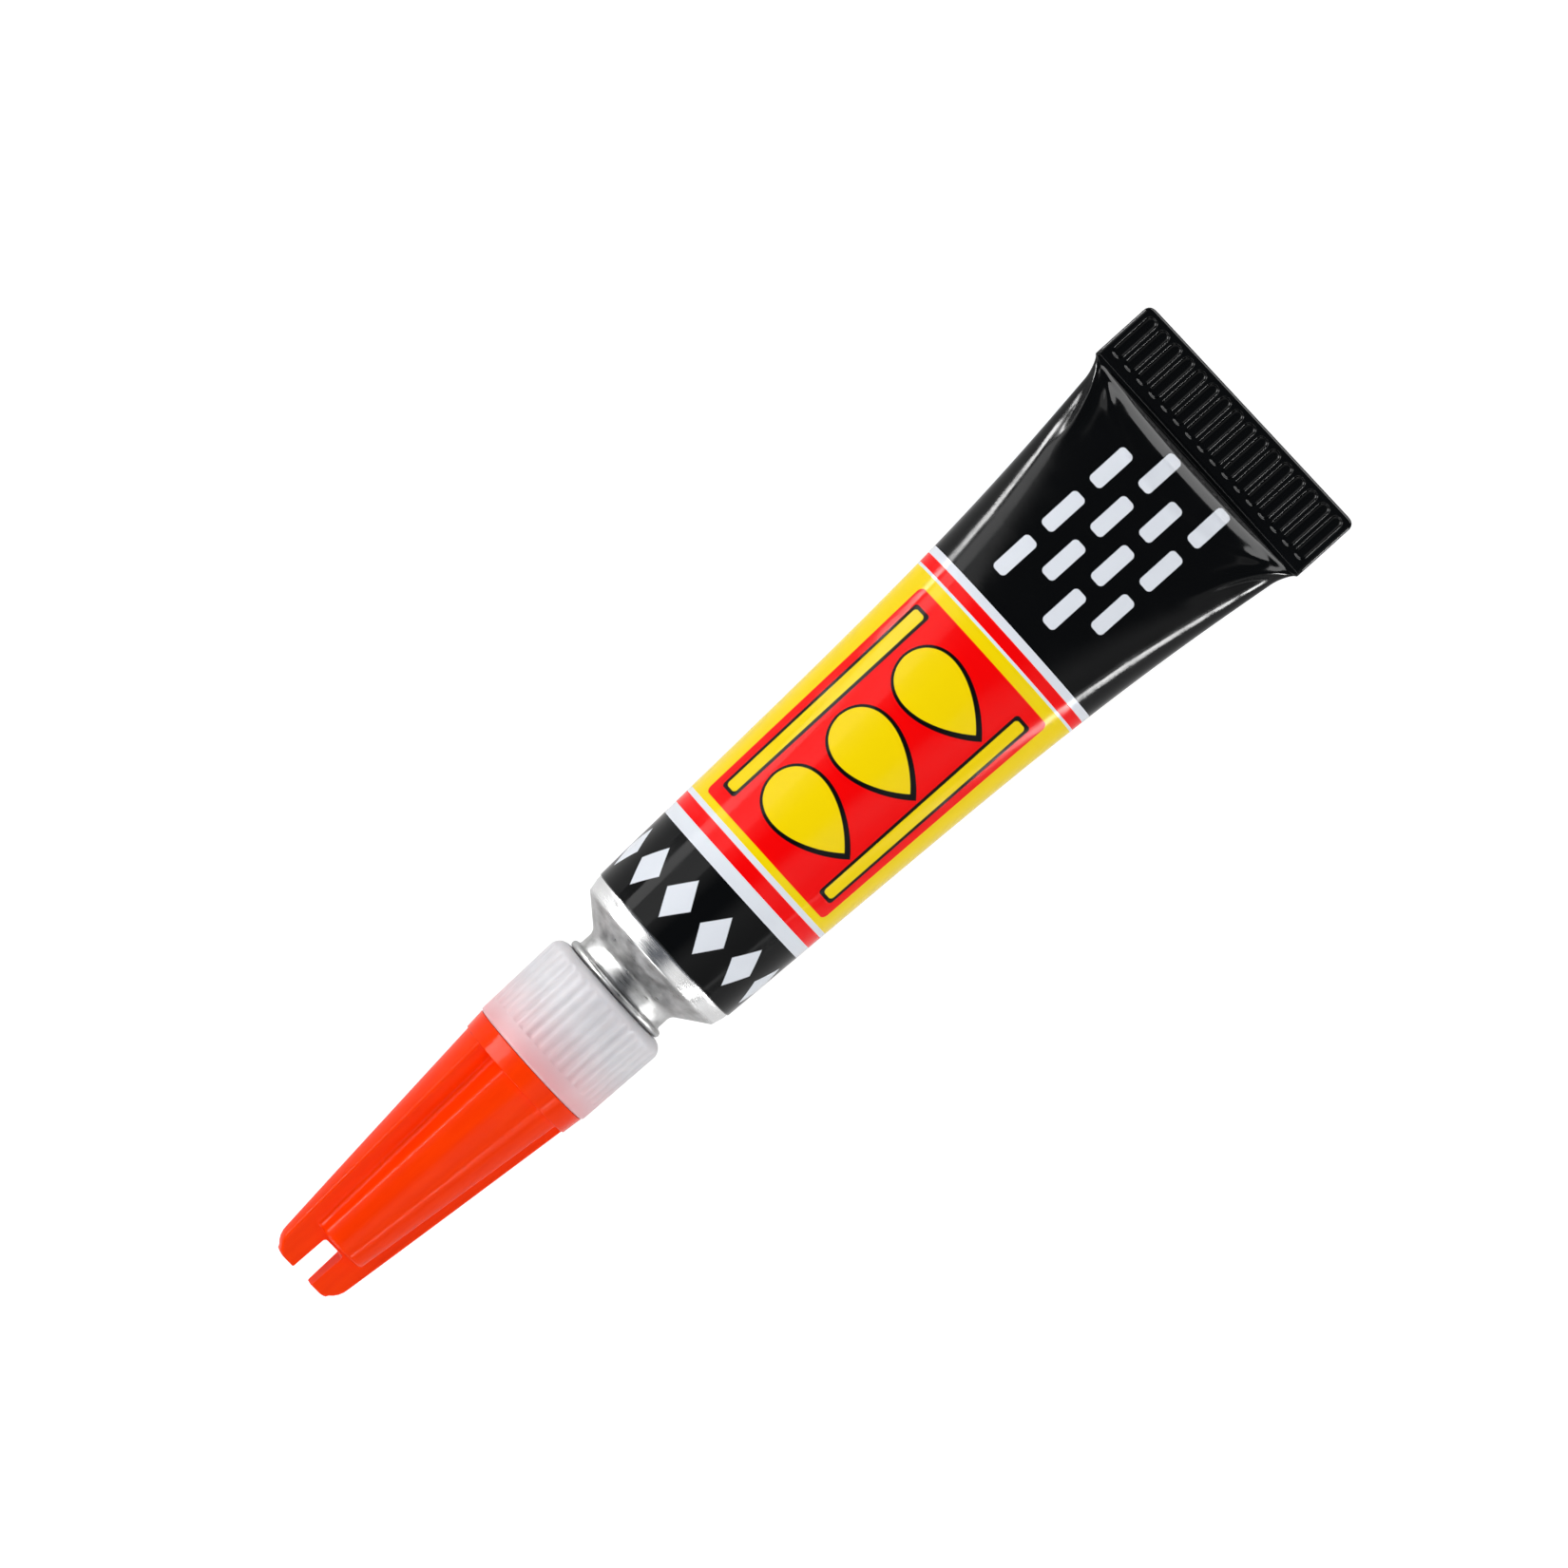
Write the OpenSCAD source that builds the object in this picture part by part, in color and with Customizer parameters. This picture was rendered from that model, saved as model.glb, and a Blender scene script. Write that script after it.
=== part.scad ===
// Collapsible aluminium tube of instant adhesive, lying on its back with the cap on.
// The axis runs along X from the cap (-X) to the crimped tail (+X), and the printed face looks up.
// The origin is on the surface that the tube lies on, below the middle of its length.

/* [Barrel] */
// Diameter of the round barrel where it meets the shoulder
tube_d = 13.5; // [12:0.1:15]
// Wall of the barrel
tube_wall = 0.15; // [0.12:0.01:0.2]
// Length of the printed barrel, from the shoulder to the crimp
barrel_len = 50.7; // [40:0.1:65]
// Length of the pillow end that closes onto the crimp
pillow_len = 1.7; // [1.2:0.1:3]
// Half angle of the flat on the back that the tube lies on, at the shoulder
rest_angle = 20; // [16:1:22]

/* [Tail crimp] */
// Length of the folded crimp
crimp_len = 5.45; // [4.5:0.05:7]
// Thickness of the folded crimp
crimp_t = 1; // [0.9:0.05:1.4]
// Metal that the crimping jaws squeeze out sideways, on each edge
crimp_spread = 0.05; // [0.02:0.01:0.1]
// Radius of the tail corners
crimp_corner_r = 0.6; // [0.3:0.05:1]
// Number of grooves across the crimp
groove_count = 16; // [12:1:18]
// Length of a groove
groove_len = 4.1; // [3:0.05:4.1]
// Plain rim between the grooves and the tail end
groove_setback = 0.45; // [0.3:0.05:0.6]
// Plain rim between the outer grooves and the side edges
groove_side_rim = 0.55; // [0.4:0.05:0.8]
// Ridge between two grooves
ridge_w = 0.28; // [0.2:0.01:0.35]
// Depth of a groove
groove_depth = 0.2; // [0.1:0.01:0.22]

/* [Shoulder and neck] */
// Length of the bare band between the print and the shoulder
band_len = 1.2; // [0.8:0.05:2]
// Diameter at the edge of the shoulder
shoulder_d = 13; // [12.6:0.05:13.2]
// Length of the shoulder cone
shoulder_len = 1.85; // [1.4:0.05:2.6]
// Wall of the shoulder
shoulder_wall = 0.6; // [0.4:0.05:0.8]
// Diameter of the waist between the shoulder and the flange
waist_d = 8.13; // [7.8:0.01:8.6]
// Length of the waist
waist_len = 1.3; // [1:0.05:2]
// Diameter of the flange that the collar seats on
flange_d = 9.04; // [8.8:0.02:9.6]
// Thickness of the flange
flange_t = 0.55; // [0.4:0.05:0.8]
// Outer diameter of the neck thread
neck_d = 7; // [6.6:0.1:7.2]
// Bore of the neck
neck_bore = 4.2; // [3.6:0.1:4.6]
// Thickness of the pierced membrane in the neck
membrane_t = 0.2; // [0.15:0.05:0.4]
// Depth of the membrane below the mouth of the neck
membrane_depth = 0.4; // [0.2:0.05:0.8]

/* [Nozzle] */
// Length of the fluted collar
collar_len = 7.65; // [7:0.05:9]
// Step from the cap's rim out to the collar
collar_step = 0.095; // [0.05:0.005:0.2]
// How far the collar widens from the cap to the flange, on each side
collar_flare = 0.175; // [0.1:0.005:0.3]
// Edge radius of the collar at the flange
collar_round = 1; // [0.5:0.05:1.2]
// Edge chamfer of the collar at the cap
collar_chamfer = 0.4; // [0.2:0.05:0.5]
// Plain band of the collar next to the cap
plain_band = 1.35; // [1:0.05:2]
// Number of flutes round the collar
flute_count = 40; // [32:1:44]
// Width of a flute
flute_w = 0.6; // [0.4:0.02:0.65]
// Depth of a flute
flute_depth = 0.15; // [0.08:0.01:0.2]
// Depth of the threaded socket that takes the neck
socket_depth = 5.2; // [4:0.1:5.6]
// Length of the spout in front of the collar
spout_len = 16.3; // [12:0.1:16.3]
// Diameter of the spout at its root
spout_base_d = 4.7; // [4:0.1:4.8]
// Diameter of the spout at its tip
spout_tip_d = 2; // [1.8:0.1:2.4]
// Orifice at the spout's tip
orifice_d = 1; // [0.9:0.05:1.2]
// Feed channel through the spout
feed_d = 1.4; // [1.2:0.05:1.6]
// Length of the narrow orifice
orifice_len = 6; // [5.5:0.1:8]
// Diameter of the threaded boss at the root of the spout
boss_d = 6; // [5.6:0.1:6.2]
// Length of the boss in front of the collar
boss_len = 1; // [0.6:0.05:1.1]
// Length of the hollow spike that pierces the membrane
spike_len = 2; // [1.6:0.1:3]
// Diameter of the spike at its root
spike_d = 2.2; // [2:0.1:2.4]
// Diameter of the spike at its tip
spike_tip_d = 1.7; // [1.65:0.05:1.9]

/* [Cap] */
// Length of the cap, from the prongs to its rim
cap_len = 22.05; // [21:0.05:24]
// Diameter across the prongs at their end, taken on the cap's cone
cap_tip_d = 6.5; // [6.2:0.05:7]
// Diameter of the cap at its rim
cap_base_d = 10.44; // [10.2:0.02:10.6]
// Length of the plain ring at the rim
ring_len = 1.55; // [1.4:0.05:2]
// Depth of the ledge between the ring and the wings
ledge_depth = 0.12; // [0.05:0.01:0.2]
// Thickness of the two wings at the prongs
wing_tip_t = 1; // [0.8:0.05:1.3]
// Thickness of the two wings at the ring
wing_base_t = 3.1; // [2.8:0.05:3.4]
// Distance from the prongs' end to the end of the two lobes
lobe_setback = 3.4; // [3.2:0.05:4]
// Diameter over the two lobes at their end
lobe_tip_d = 5.4; // [5.2:0.05:5.8]
// Diameter over the two lobes at the ring
lobe_base_d = 9.6; // [9.2:0.05:9.8]
// Width of the two lobes at their end
lobe_tip_w = 4; // [3.8:0.05:4.4]
// Width of the two lobes at the ring
lobe_base_w = 6.1; // [5.8:0.05:6.4]
// Width of the slot between the prongs
slot_w = 2.05; // [1.6:0.05:2.4]
// Depth of the slot between the prongs
slot_depth = 3.06; // [2.4:0.02:3.1]
// Radius of the prongs' outer corners
prong_r = 1.7; // [1:0.05:1.9]
// How far the wings are turned about the axis
cap_turn = 26; // [0:1:45]
// Length of the skirt that enters the collar
skirt_len = 1.3; // [1:0.05:1.5]
// Outer diameter of the skirt
skirt_d = 8.4; // [8:0.05:8.5]
// Wall at the closed end of the cap's bore
bore_end_wall = 1.9; // [1.6:0.1:2.4]

/* [Pin, sealant and adhesive] */
// Diameter of the pin in the cap
pin_d = 0.7; // [0.5:0.05:0.7]
// Length of the pin that stands out into the orifice
pin_reach = 4.5; // [3:0.1:5]
// Length of the pin that is set into the cap
pin_root = 1.5; // [1:0.1:1.5]
// Length of the sealant band inside the crimp
sealant_len = 3.6; // [2:0.1:4]
// Height of the tube's axis above the surface of the liquid
fill_drop = 0.3; // [0:0.1:1.2]

/* [Fits] */
// Gap between the cap's rim and the collar
rim_gap = 0.05; // [0.02:0.01:0.1]
// Gap between the collar and the flange
seat_gap = 0.05; // [0.02:0.01:0.1]
// Clearance round the neck in the socket
thread_clear = 0.15; // [0.1:0.01:0.2]
// Clearance round the spout, the boss and the skirt
spout_clear = 0.2; // [0.15:0.01:0.25]
// Gap between the neck's mouth and the floor of the socket
mouth_gap = 0.1; // [0.05:0.01:0.2]
// Clearance round the spike in the membrane
pierce_clear = 0.15; // [0.1:0.01:0.2]
// Clearance round the liquid and the sealant
fill_clear = 0.06; // [0.05:0.01:0.08]

/* [Hidden] */

// Overrun of every cut past the face that it opens
overrun = 0.2;
// Step from the crimp's faces down to the end of the barrel
fold_step = 0.05;
// Margin of the head's end face inside the barrel's end face
joint_margin = 0.015;

// The barrel thins along its length by this share of its radius, and by this share more at a power
thin_share = 0.27;
curl_share = 0.42;
curl_power = 4.6;
// The flat on the back that the barrel lies on leans by this share of the radius more than the barrel thins
rest_share = 0.05;
// Half width of the sealant's slit, as a share of the barrel's own at the crimp
slit_share = 0.8;

// Counts: sides of a section, plain stations, stations of the pillow end, points of an arc, halvings
sides = 48;
plain_stations = 14;
pillow_stations = 6;
arc_steps = 6;
halvings = 40;
$fn = 96;

// Barrel, from its driving sizes; at the shoulder the flat on its back touches the surface
tube_r = tube_d / 2;
axis_h = tube_r * cos(rest_angle);
girth = PI * tube_d;
end_half = crimp_t / 2 - fold_step;
crimp_w = girth / 2 + 2 * crimp_spread;

// Places along the axis, from the prongs' end
collar_x = cap_len + rim_gap;
flange_x = collar_x + collar_len + seat_gap;
barrel_x = flange_x + flange_t + waist_len + shoulder_len + band_len;
crimp_x = barrel_x + barrel_len;
overall_len = crimp_x + crimp_len;

// Neck and socket
neck_len = socket_depth + seat_gap - mouth_gap;
socket_d = neck_d + 2 * thread_clear;

// Half width of an ellipse is found by halving, because its girth stays that of the round tube
function ellipse_girth(a, b) =
    let (h = pow((a - b) / (a + b), 2))
    PI * (a + b) * (1 + 3 * h / (10 + sqrt(4 - 3 * h)));

function half_width(b, low, high, steps) =
    let (mid = (low + high) / 2)
    steps == 0 ? mid
    : ellipse_girth(mid, b) > girth ? half_width(b, low, mid, steps - 1)
    : half_width(b, mid, high, steps - 1);

// Half thickness of the barrel at distance s from the shoulder
function half_thick(s) =
    let (
        u = s / barrel_len,
        v = max(0, s - barrel_len + pillow_len) / pillow_len,
        open = tube_r * (1 - thin_share * u - curl_share * pow(u, curl_power))
    )
    end_half + (open - end_half) * sqrt(1 - v * v);

// Stations along the barrel, close together where the pillow end turns down
stations = concat(
    [for (i = [0 : plain_stations - 1]) (barrel_len - pillow_len) * i / plain_stations],
    [for (i = [0 : pillow_stations]) barrel_len - pillow_len + pillow_len * sin(90 * i / pillow_stations)]
);

// Half axes of the barrel's section at distance s, drawn in by inset
function half_axes(s, inset) =
    let (b = half_thick(s))
    [half_width(b, tube_r, girth / 4, halvings) - inset, b - inset];

// Half angle of the lowest facet at distance s, where one plane cuts the flat from the shoulder on
function rest_half(s) =
    let (rest_h = axis_h - (thin_share + rest_share) * tube_r * s / barrel_len)
    max(180 / sides, acos(min(1, rest_h / half_thick(s))));

// Points of a section at the given angles
function section(s, axes, angles) = [
    for (angle = angles) [s, axes[0] * cos(angle), axes[1] * sin(angle)]
];

// Two triangles for each quad between rings r and q of n points, round the ring or along the open arc
function strip(r, q, n, quads) = [
    for (i = [0 : quads - 1])
        let (j = (i + 1) % n)
        each [[r * n + i, r * n + j, q * n + j], [r * n + i, q * n + j, q * n + i]]
];

// Points of an arc in the half plane of a revolve
function arc(centre, r, from, to) = [
    for (i = [0 : arc_steps])
        let (angle = from + (to - from) * i / arc_steps)
        centre + r * [cos(angle), sin(angle)]
];

// Puts a shape made along +Z, from the plane at x on the tube's axis
module along_axis(x) {
    translate([x - overall_len / 2, 0, axis_h])
        rotate([0, 90, 0])
            children();
}

// Puts a shape made in the tube's own axes, from the plane at x on the tube's axis
module from_plane(x) {
    translate([x - overall_len / 2, 0, axis_h])
        children();
}

// A slab along Y and Z whose thickness changes evenly from the prongs to the ring
module taper_slab(tip_t, base_t, z0, z1, span) {
    rotate([90, 0, 0])
        linear_extrude(span, center = true)
            polygon([[-tip_t / 2, z0], [tip_t / 2, z0], [base_t / 2, z1], [-base_t / 2, z1]]);
}

// Printed barrel: a loft of constant girth from the round shoulder to the flat crimp
module barrel() {
    rings = len(stations);
    from_plane(barrel_x)
        polyhedron(
            [
                for (inset = [0, tube_wall], s = stations)
                    let (
                        rest = rest_half(s),
                        angles = [for (i = [0 : sides - 1]) rest - 90 + 2 * (180 - rest) * i / (sides - 1)]
                    )
                    each section(s, half_axes(s, inset), angles)
            ],
            concat(
                [for (r = [0 : rings - 2]) each strip(r + 1, r, sides, sides)],
                [for (r = [rings : 2 * rings - 2]) each strip(r, r + 1, sides, sides)],
                strip(0, rings, sides, sides),
                strip(2 * rings - 1, rings - 1, sides, sides)
            )
        );
}

// Bare head: threaded neck with the pierced membrane, flange, waist and shoulder cone
module head() {
    waist_z = neck_len + flange_t;
    cone_z = waist_z + waist_len;
    edge_z = cone_z + shoulder_len;
    end_z = edge_z + band_len;
    rise = shoulder_len / (shoulder_d - waist_d) * 2;
    lift = shoulder_wall * sqrt(1 + rise * rise);
    inner_r = shoulder_d / 2 - shoulder_wall;
    facet_r = tube_r * cos((180 - rest_angle) / (sides - 1));
    flat_r = (tube_r - tube_wall) * cos(rest_angle);
    pierce_r = spike_d / 2 + pierce_clear;
    along_axis(barrel_x - end_z)
        difference() {
            rotate_extrude() {
                polygon(concat(
                    [[neck_bore / 2, 0], [neck_d / 2, 0], [neck_d / 2, neck_len]],
                    arc([(flange_d - flange_t) / 2, neck_len + flange_t / 2], flange_t / 2, -90, 90),
                    [
                        [waist_d / 2, waist_z],
                        [waist_d / 2, cone_z],
                        [shoulder_d / 2, edge_z],
                        [facet_r - joint_margin, end_z],
                        [flat_r - joint_margin, end_z],
                        [inner_r, cone_z + (inner_r - waist_d / 2) * rise + lift],
                        [neck_bore / 2, cone_z + (neck_bore - waist_d) / 2 * rise + lift]
                    ]
                ));
                translate([pierce_r, membrane_depth])
                    square([(neck_bore + neck_d) / 4 - pierce_r, membrane_t]);
            }
            translate([axis_h - joint_margin, -tube_r, cone_z])
                cube([tube_r, tube_d, shoulder_len + band_len + overrun]);
        }
}

// Rounded groove along the axis, cut into a face of the crimp
module groove(groove_w) {
    r = (groove_w * groove_w / 4 + groove_depth * groove_depth) / (2 * groove_depth);
    straight = groove_len - groove_w;
    translate([crimp_len - groove_setback - groove_len / 2, 0, crimp_t / 2 + r - groove_depth])
        rotate([0, 90, 0]) {
            cylinder(straight, r, r, center = true);
            for (end = [-1, 1])
                translate([0, 0, end * straight / 2])
                    sphere(r);
        }
}

// Folded tail: a flat plate with rounded corners, a slit for the sealant and grooves on both faces
module crimp() {
    groove_pitch = (crimp_w - 2 * groove_side_rim + ridge_w) / groove_count;
    first_y = -groove_pitch * (groove_count - 1) / 2;
    from_plane(crimp_x)
        difference() {
            linear_extrude(crimp_t, center = true) {
                translate([0, -crimp_w / 2])
                    square([crimp_len - crimp_corner_r, crimp_w]);
                translate([0, crimp_corner_r - crimp_w / 2])
                    square([crimp_len, crimp_w - 2 * crimp_corner_r]);
                for (side = [-1, 1])
                    translate([crimp_len - crimp_corner_r, side * (crimp_w / 2 - crimp_corner_r)])
                        circle(crimp_corner_r);
            }
            for (face = [0, 1], i = [0 : groove_count - 1])
                mirror([0, 0, face])
                    translate([0, first_y + groove_pitch * i, 0])
                        groove(groove_pitch - ridge_w);
            slit(sealant_len, 0);
        }
}

// Slit between the folded walls, and the sealant that fills it
module slit(length, clear) {
    slit_h = end_half - tube_wall;
    slit_w = 2 * slit_share * half_axes(barrel_len, tube_wall)[0];
    translate([0, clear - slit_w / 2, clear - slit_h / 2])
        cube([length, slit_w - 2 * clear, slit_h - 2 * clear]);
}

module tube() {
    color("silver") head();
    color([0.03, 0.03, 0.03]) barrel();
    color([0.03, 0.03, 0.03]) crimp();
}

module tail_sealant() {
    color("wheat")
        from_plane(crimp_x)
            slit(sealant_len - fill_clear, fill_clear);
}

// Liquid that half fills the lying barrel, level on top
module adhesive() {
    wet = [for (s = stations) if (s <= barrel_len - pillow_len) s];
    last = len(wet) - 1;
    half = sides / 4;
    n = 2 * half + 2;
    quads = n - 1;
    color([0.9, 0.92, 0.85])
        from_plane(barrel_x)
            polyhedron(
                [
                    for (s = wet)
                        let (
                            axes = half_axes(s, tube_wall + fill_clear),
                            rim = asin(fill_drop / axes[1]),
                            rest = rest_half(s),
                            step = (90 - rim - rest) / half,
                            left = [for (i = [0 : half]) 180 + rim + step * i],
                            angles = concat(left, [for (i = [0 : half]) 270 + rest + step * i])
                        )
                        each section(s, axes, angles)
                ],
                concat(
                    [for (r = [0 : last - 1]) each strip(r + 1, r, n, quads)],
                    [[for (i = [0 : quads]) i]],
                    [[for (i = [quads : -1 : 0]) last * n + i]],
                    [for (r = [0 : last - 1]) [r * n + quads, (r + 1) * n + quads, (r + 1) * n, r * n]]
                )
            );
}

// Nozzle: spout, threaded boss, fluted collar, socket for the neck and hollow spike in one moulding
module nozzle() {
    front_r = cap_base_d / 2 + collar_step;
    rear_r = front_r + collar_flare;
    lean = atan(collar_flare / collar_len);
    floor_z = collar_len - socket_depth;
    recess_z = skirt_len - rim_gap + spout_clear;
    recess_r = skirt_d / 2 + spout_clear;
    cutter_r = (flute_w * flute_w / 4 + flute_depth * flute_depth) / (2 * flute_depth);
    color([0.9, 0.88, 0.88, 0.8])
        along_axis(collar_x)
            difference() {
                rotate_extrude()
                    polygon(concat(
                        [
                            [orifice_d / 2, -spout_len],
                            [spout_tip_d / 2, -spout_len],
                            [spout_base_d / 2, -boss_len],
                            [boss_d / 2, -boss_len],
                            [boss_d / 2, recess_z],
                            [recess_r, recess_z],
                            [recess_r, 0],
                            [front_r - collar_chamfer, 0],
                            [front_r + collar_chamfer * tan(lean), collar_chamfer]
                        ],
                        arc([rear_r - collar_round, collar_len - collar_round], collar_round, 0, 90),
                        [
                            [socket_d / 2, collar_len],
                            [socket_d / 2, floor_z],
                            [spike_d / 2, floor_z],
                            [spike_tip_d / 2, floor_z + spike_len],
                            [feed_d / 2, floor_z + spike_len],
                            [feed_d / 2, orifice_len - spout_len],
                            [orifice_d / 2, orifice_len - spout_len]
                        ]
                    ));
                for (i = [0 : flute_count - 1])
                    rotate([0, 0, 360 * i / flute_count])
                        translate([front_r + cutter_r - flute_depth, 0, 0])
                            rotate([0, lean, 0])
                                translate([0, 0, plain_band])
                                    cylinder(collar_len, cutter_r, cutter_r);
            }
}

// The cap's own cone, between two planes
module cap_cone(z0, z1, shrink) {
    slope = (cap_base_d - cap_tip_d) / 2 / cap_len;
    translate([0, 0, z0])
        cylinder(z1 - z0, cap_tip_d / 2 + slope * z0 - shrink, cap_tip_d / 2 + slope * z1 - shrink);
}

// Outline of the prongs, with round outer corners, as a slab across the wings
module prong_outline() {
    edge = cap_tip_d / 2 + (cap_base_d - cap_tip_d) / 2 * prong_r / cap_len;
    rotate([90, 0, 90])
        linear_extrude(cap_base_d, center = true) {
            translate([-cap_base_d / 2, prong_r])
                square([cap_base_d, cap_len]);
            translate([prong_r - edge, 0])
                square([2 * (edge - prong_r), cap_len]);
            for (side = [-1, 1])
                translate([side * (edge - prong_r), prong_r])
                    circle(prong_r);
        }
}

// Cap: two wings that end in prongs, two wide lobes between them, a plain ring and the skirt
module cap() {
    ledge_z = cap_len - ring_len;
    bore_z = lobe_setback + bore_end_wall;
    spout_z = collar_x - spout_len;
    boss_z = collar_x - boss_len - spout_clear;
    boss_r = boss_d / 2 + spout_clear;
    bore_slope = (spout_base_d - spout_tip_d) / 2 / (spout_len - boss_len);
    color([1, 0.25, 0.02])
        along_axis(0)
            rotate([0, 0, cap_turn])
                difference() {
                    union() {
                        intersection() {
                            cap_cone(0, cap_len, ledge_depth);
                            taper_slab(wing_tip_t, wing_base_t, 0, ledge_z, cap_base_d);
                            prong_outline();
                        }
                        intersection() {
                            translate([0, 0, lobe_setback])
                                cylinder(ledge_z - lobe_setback, lobe_tip_d / 2, lobe_base_d / 2);
                            rotate([0, 0, 90])
                                taper_slab(lobe_tip_w, lobe_base_w, lobe_setback, ledge_z, cap_base_d);
                        }
                        cap_cone(ledge_z, cap_len, 0);
                        translate([0, 0, cap_len])
                            cylinder(skirt_len, skirt_d / 2, skirt_d / 2);
                    }
                    translate([-cap_base_d / 2, -slot_w / 2, -overrun])
                        cube([cap_base_d, slot_w, slot_depth + overrun]);
                    translate([0, 0, bore_z])
                        cylinder(
                            boss_z - bore_z,
                            spout_tip_d / 2 + bore_slope * (bore_z - spout_z) + spout_clear,
                            spout_tip_d / 2 + bore_slope * (boss_z - spout_z) + spout_clear
                        );
                    translate([0, 0, boss_z])
                        cylinder(cap_len + skirt_len + overrun - boss_z, boss_r, boss_r);
                    translate([0, 0, bore_z - pin_root])
                        cylinder(pin_root + overrun, pin_d / 2, pin_d / 2);
                }
}

module cap_pin() {
    color("gainsboro")
        along_axis(lobe_setback + bore_end_wall - pin_root)
            cylinder(pin_root + pin_reach, pin_d / 2, pin_d / 2);
}

tube();
tail_sealant();
adhesive();
nozzle();
cap();
cap_pin();
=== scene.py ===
"""Looks of a collapsible glue tube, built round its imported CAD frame.

Every piece is modelled in millimetres, in the row frame, and made metres when it is finished.
Places along the tube are counted from the end of the cap's prongs towards the crimped tail.
"""

import logging
import math
import random
from dataclasses import dataclass
from enum import Enum
from typing import Sequence

import bmesh
import bpy
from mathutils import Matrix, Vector, noise


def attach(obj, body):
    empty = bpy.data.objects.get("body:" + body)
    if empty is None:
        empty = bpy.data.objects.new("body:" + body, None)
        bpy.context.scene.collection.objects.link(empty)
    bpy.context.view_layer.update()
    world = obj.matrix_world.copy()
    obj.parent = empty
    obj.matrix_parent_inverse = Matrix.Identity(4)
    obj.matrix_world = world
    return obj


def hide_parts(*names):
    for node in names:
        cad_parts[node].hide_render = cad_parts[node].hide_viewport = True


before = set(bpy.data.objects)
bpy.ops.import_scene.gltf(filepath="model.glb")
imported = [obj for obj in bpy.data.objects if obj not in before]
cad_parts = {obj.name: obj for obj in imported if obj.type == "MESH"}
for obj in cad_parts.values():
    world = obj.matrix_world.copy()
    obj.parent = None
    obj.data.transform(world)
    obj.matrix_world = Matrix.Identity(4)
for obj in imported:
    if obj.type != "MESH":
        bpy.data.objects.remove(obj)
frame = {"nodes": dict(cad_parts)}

LOG = logging.getLogger("glue_tube")
MM = 0.001
AXIS_Z = 6.3429
TIP_X = -45.425
REST_GAP = 0.02
PRINT_MAP = "print"

Pair = tuple[float, float]
Point = tuple[float, float, float]
Ring = list[Point]
Colour = tuple[float, float, float]
Profile = list[Pair]
Socket = bpy.types.NodeSocket


class Body(Enum):
    """The CAD bodies that pieces ride on."""

    TUBE = "tube"
    NOZZLE = "nozzle"
    CAP = "cap"


class Close(Enum):
    """How the two ends of a skin are shut."""

    LIDS = "a flat lid on each end"
    LOOP = "the last ring bridged to the first"


def smooth_step(low: float, high: float, value: float) -> float:
    """Eases from 0 at low to 1 at high.

    Args:
        low: Value where the ease starts.
        high: Value where it ends.
        value: Value to place between them.

    Returns:
        The eased share, from 0 to 1.
    """
    share = min(1.0, max(0.0, (value - low) / (high - low)))
    return share * share * (3.0 - 2.0 * share)


def between(ends: Pair, share: float) -> float:
    """The value at a share of the way from one end to the other."""
    return ends[0] + (ends[1] - ends[0]) * share


def bell(value: float) -> float:
    """A bell curve: 1 at zero, and little beyond 2 to either side."""
    return math.exp(-(value**2))


def round_over(radius: float, depth: float) -> float:
    """How far a rounded edge has drawn in.

    Args:
        radius: Radius of the edge.
        depth: Distance into the rounding, 0 where it starts.

    Returns:
        The distance, from 0 to the radius.
    """
    return radius - math.sqrt(max(0.0, radius**2 - depth**2))


def corner_arc(centre: Pair, radius: float, start: float, end: float, steps: int) -> Profile:
    """Points of an arc in a profile's plane.

    Args:
        centre: Centre of the arc, along the axis and out from it.
        radius: Its radius.
        start: First angle in degrees, 0 along the axis and 90 outwards.
        end: Last angle in degrees.
        steps: Number of steps.

    Returns:
        The points, both ends included.
    """
    angles = [math.radians(start + (end - start) * i / steps) for i in range(steps + 1)]
    return [(centre[0] + radius * math.cos(a), centre[1] + radius * math.sin(a)) for a in angles]


def turned_ring(x: float, radii: Sequence[float], angles: Sequence[float]) -> Ring:
    """A ring of points round the tube's axis, cut off by the surface that the tube lies on.

    Args:
        x: Place along the tube.
        radii: Radius at each angle.
        angles: Angles in radians, from +Y towards +Z.

    Returns:
        The points in the row frame.
    """
    return [
        (TIP_X + x, r * math.cos(a), max(AXIS_Z + r * math.sin(a), REST_GAP))
        for r, a in zip(radii, angles)
    ]


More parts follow.
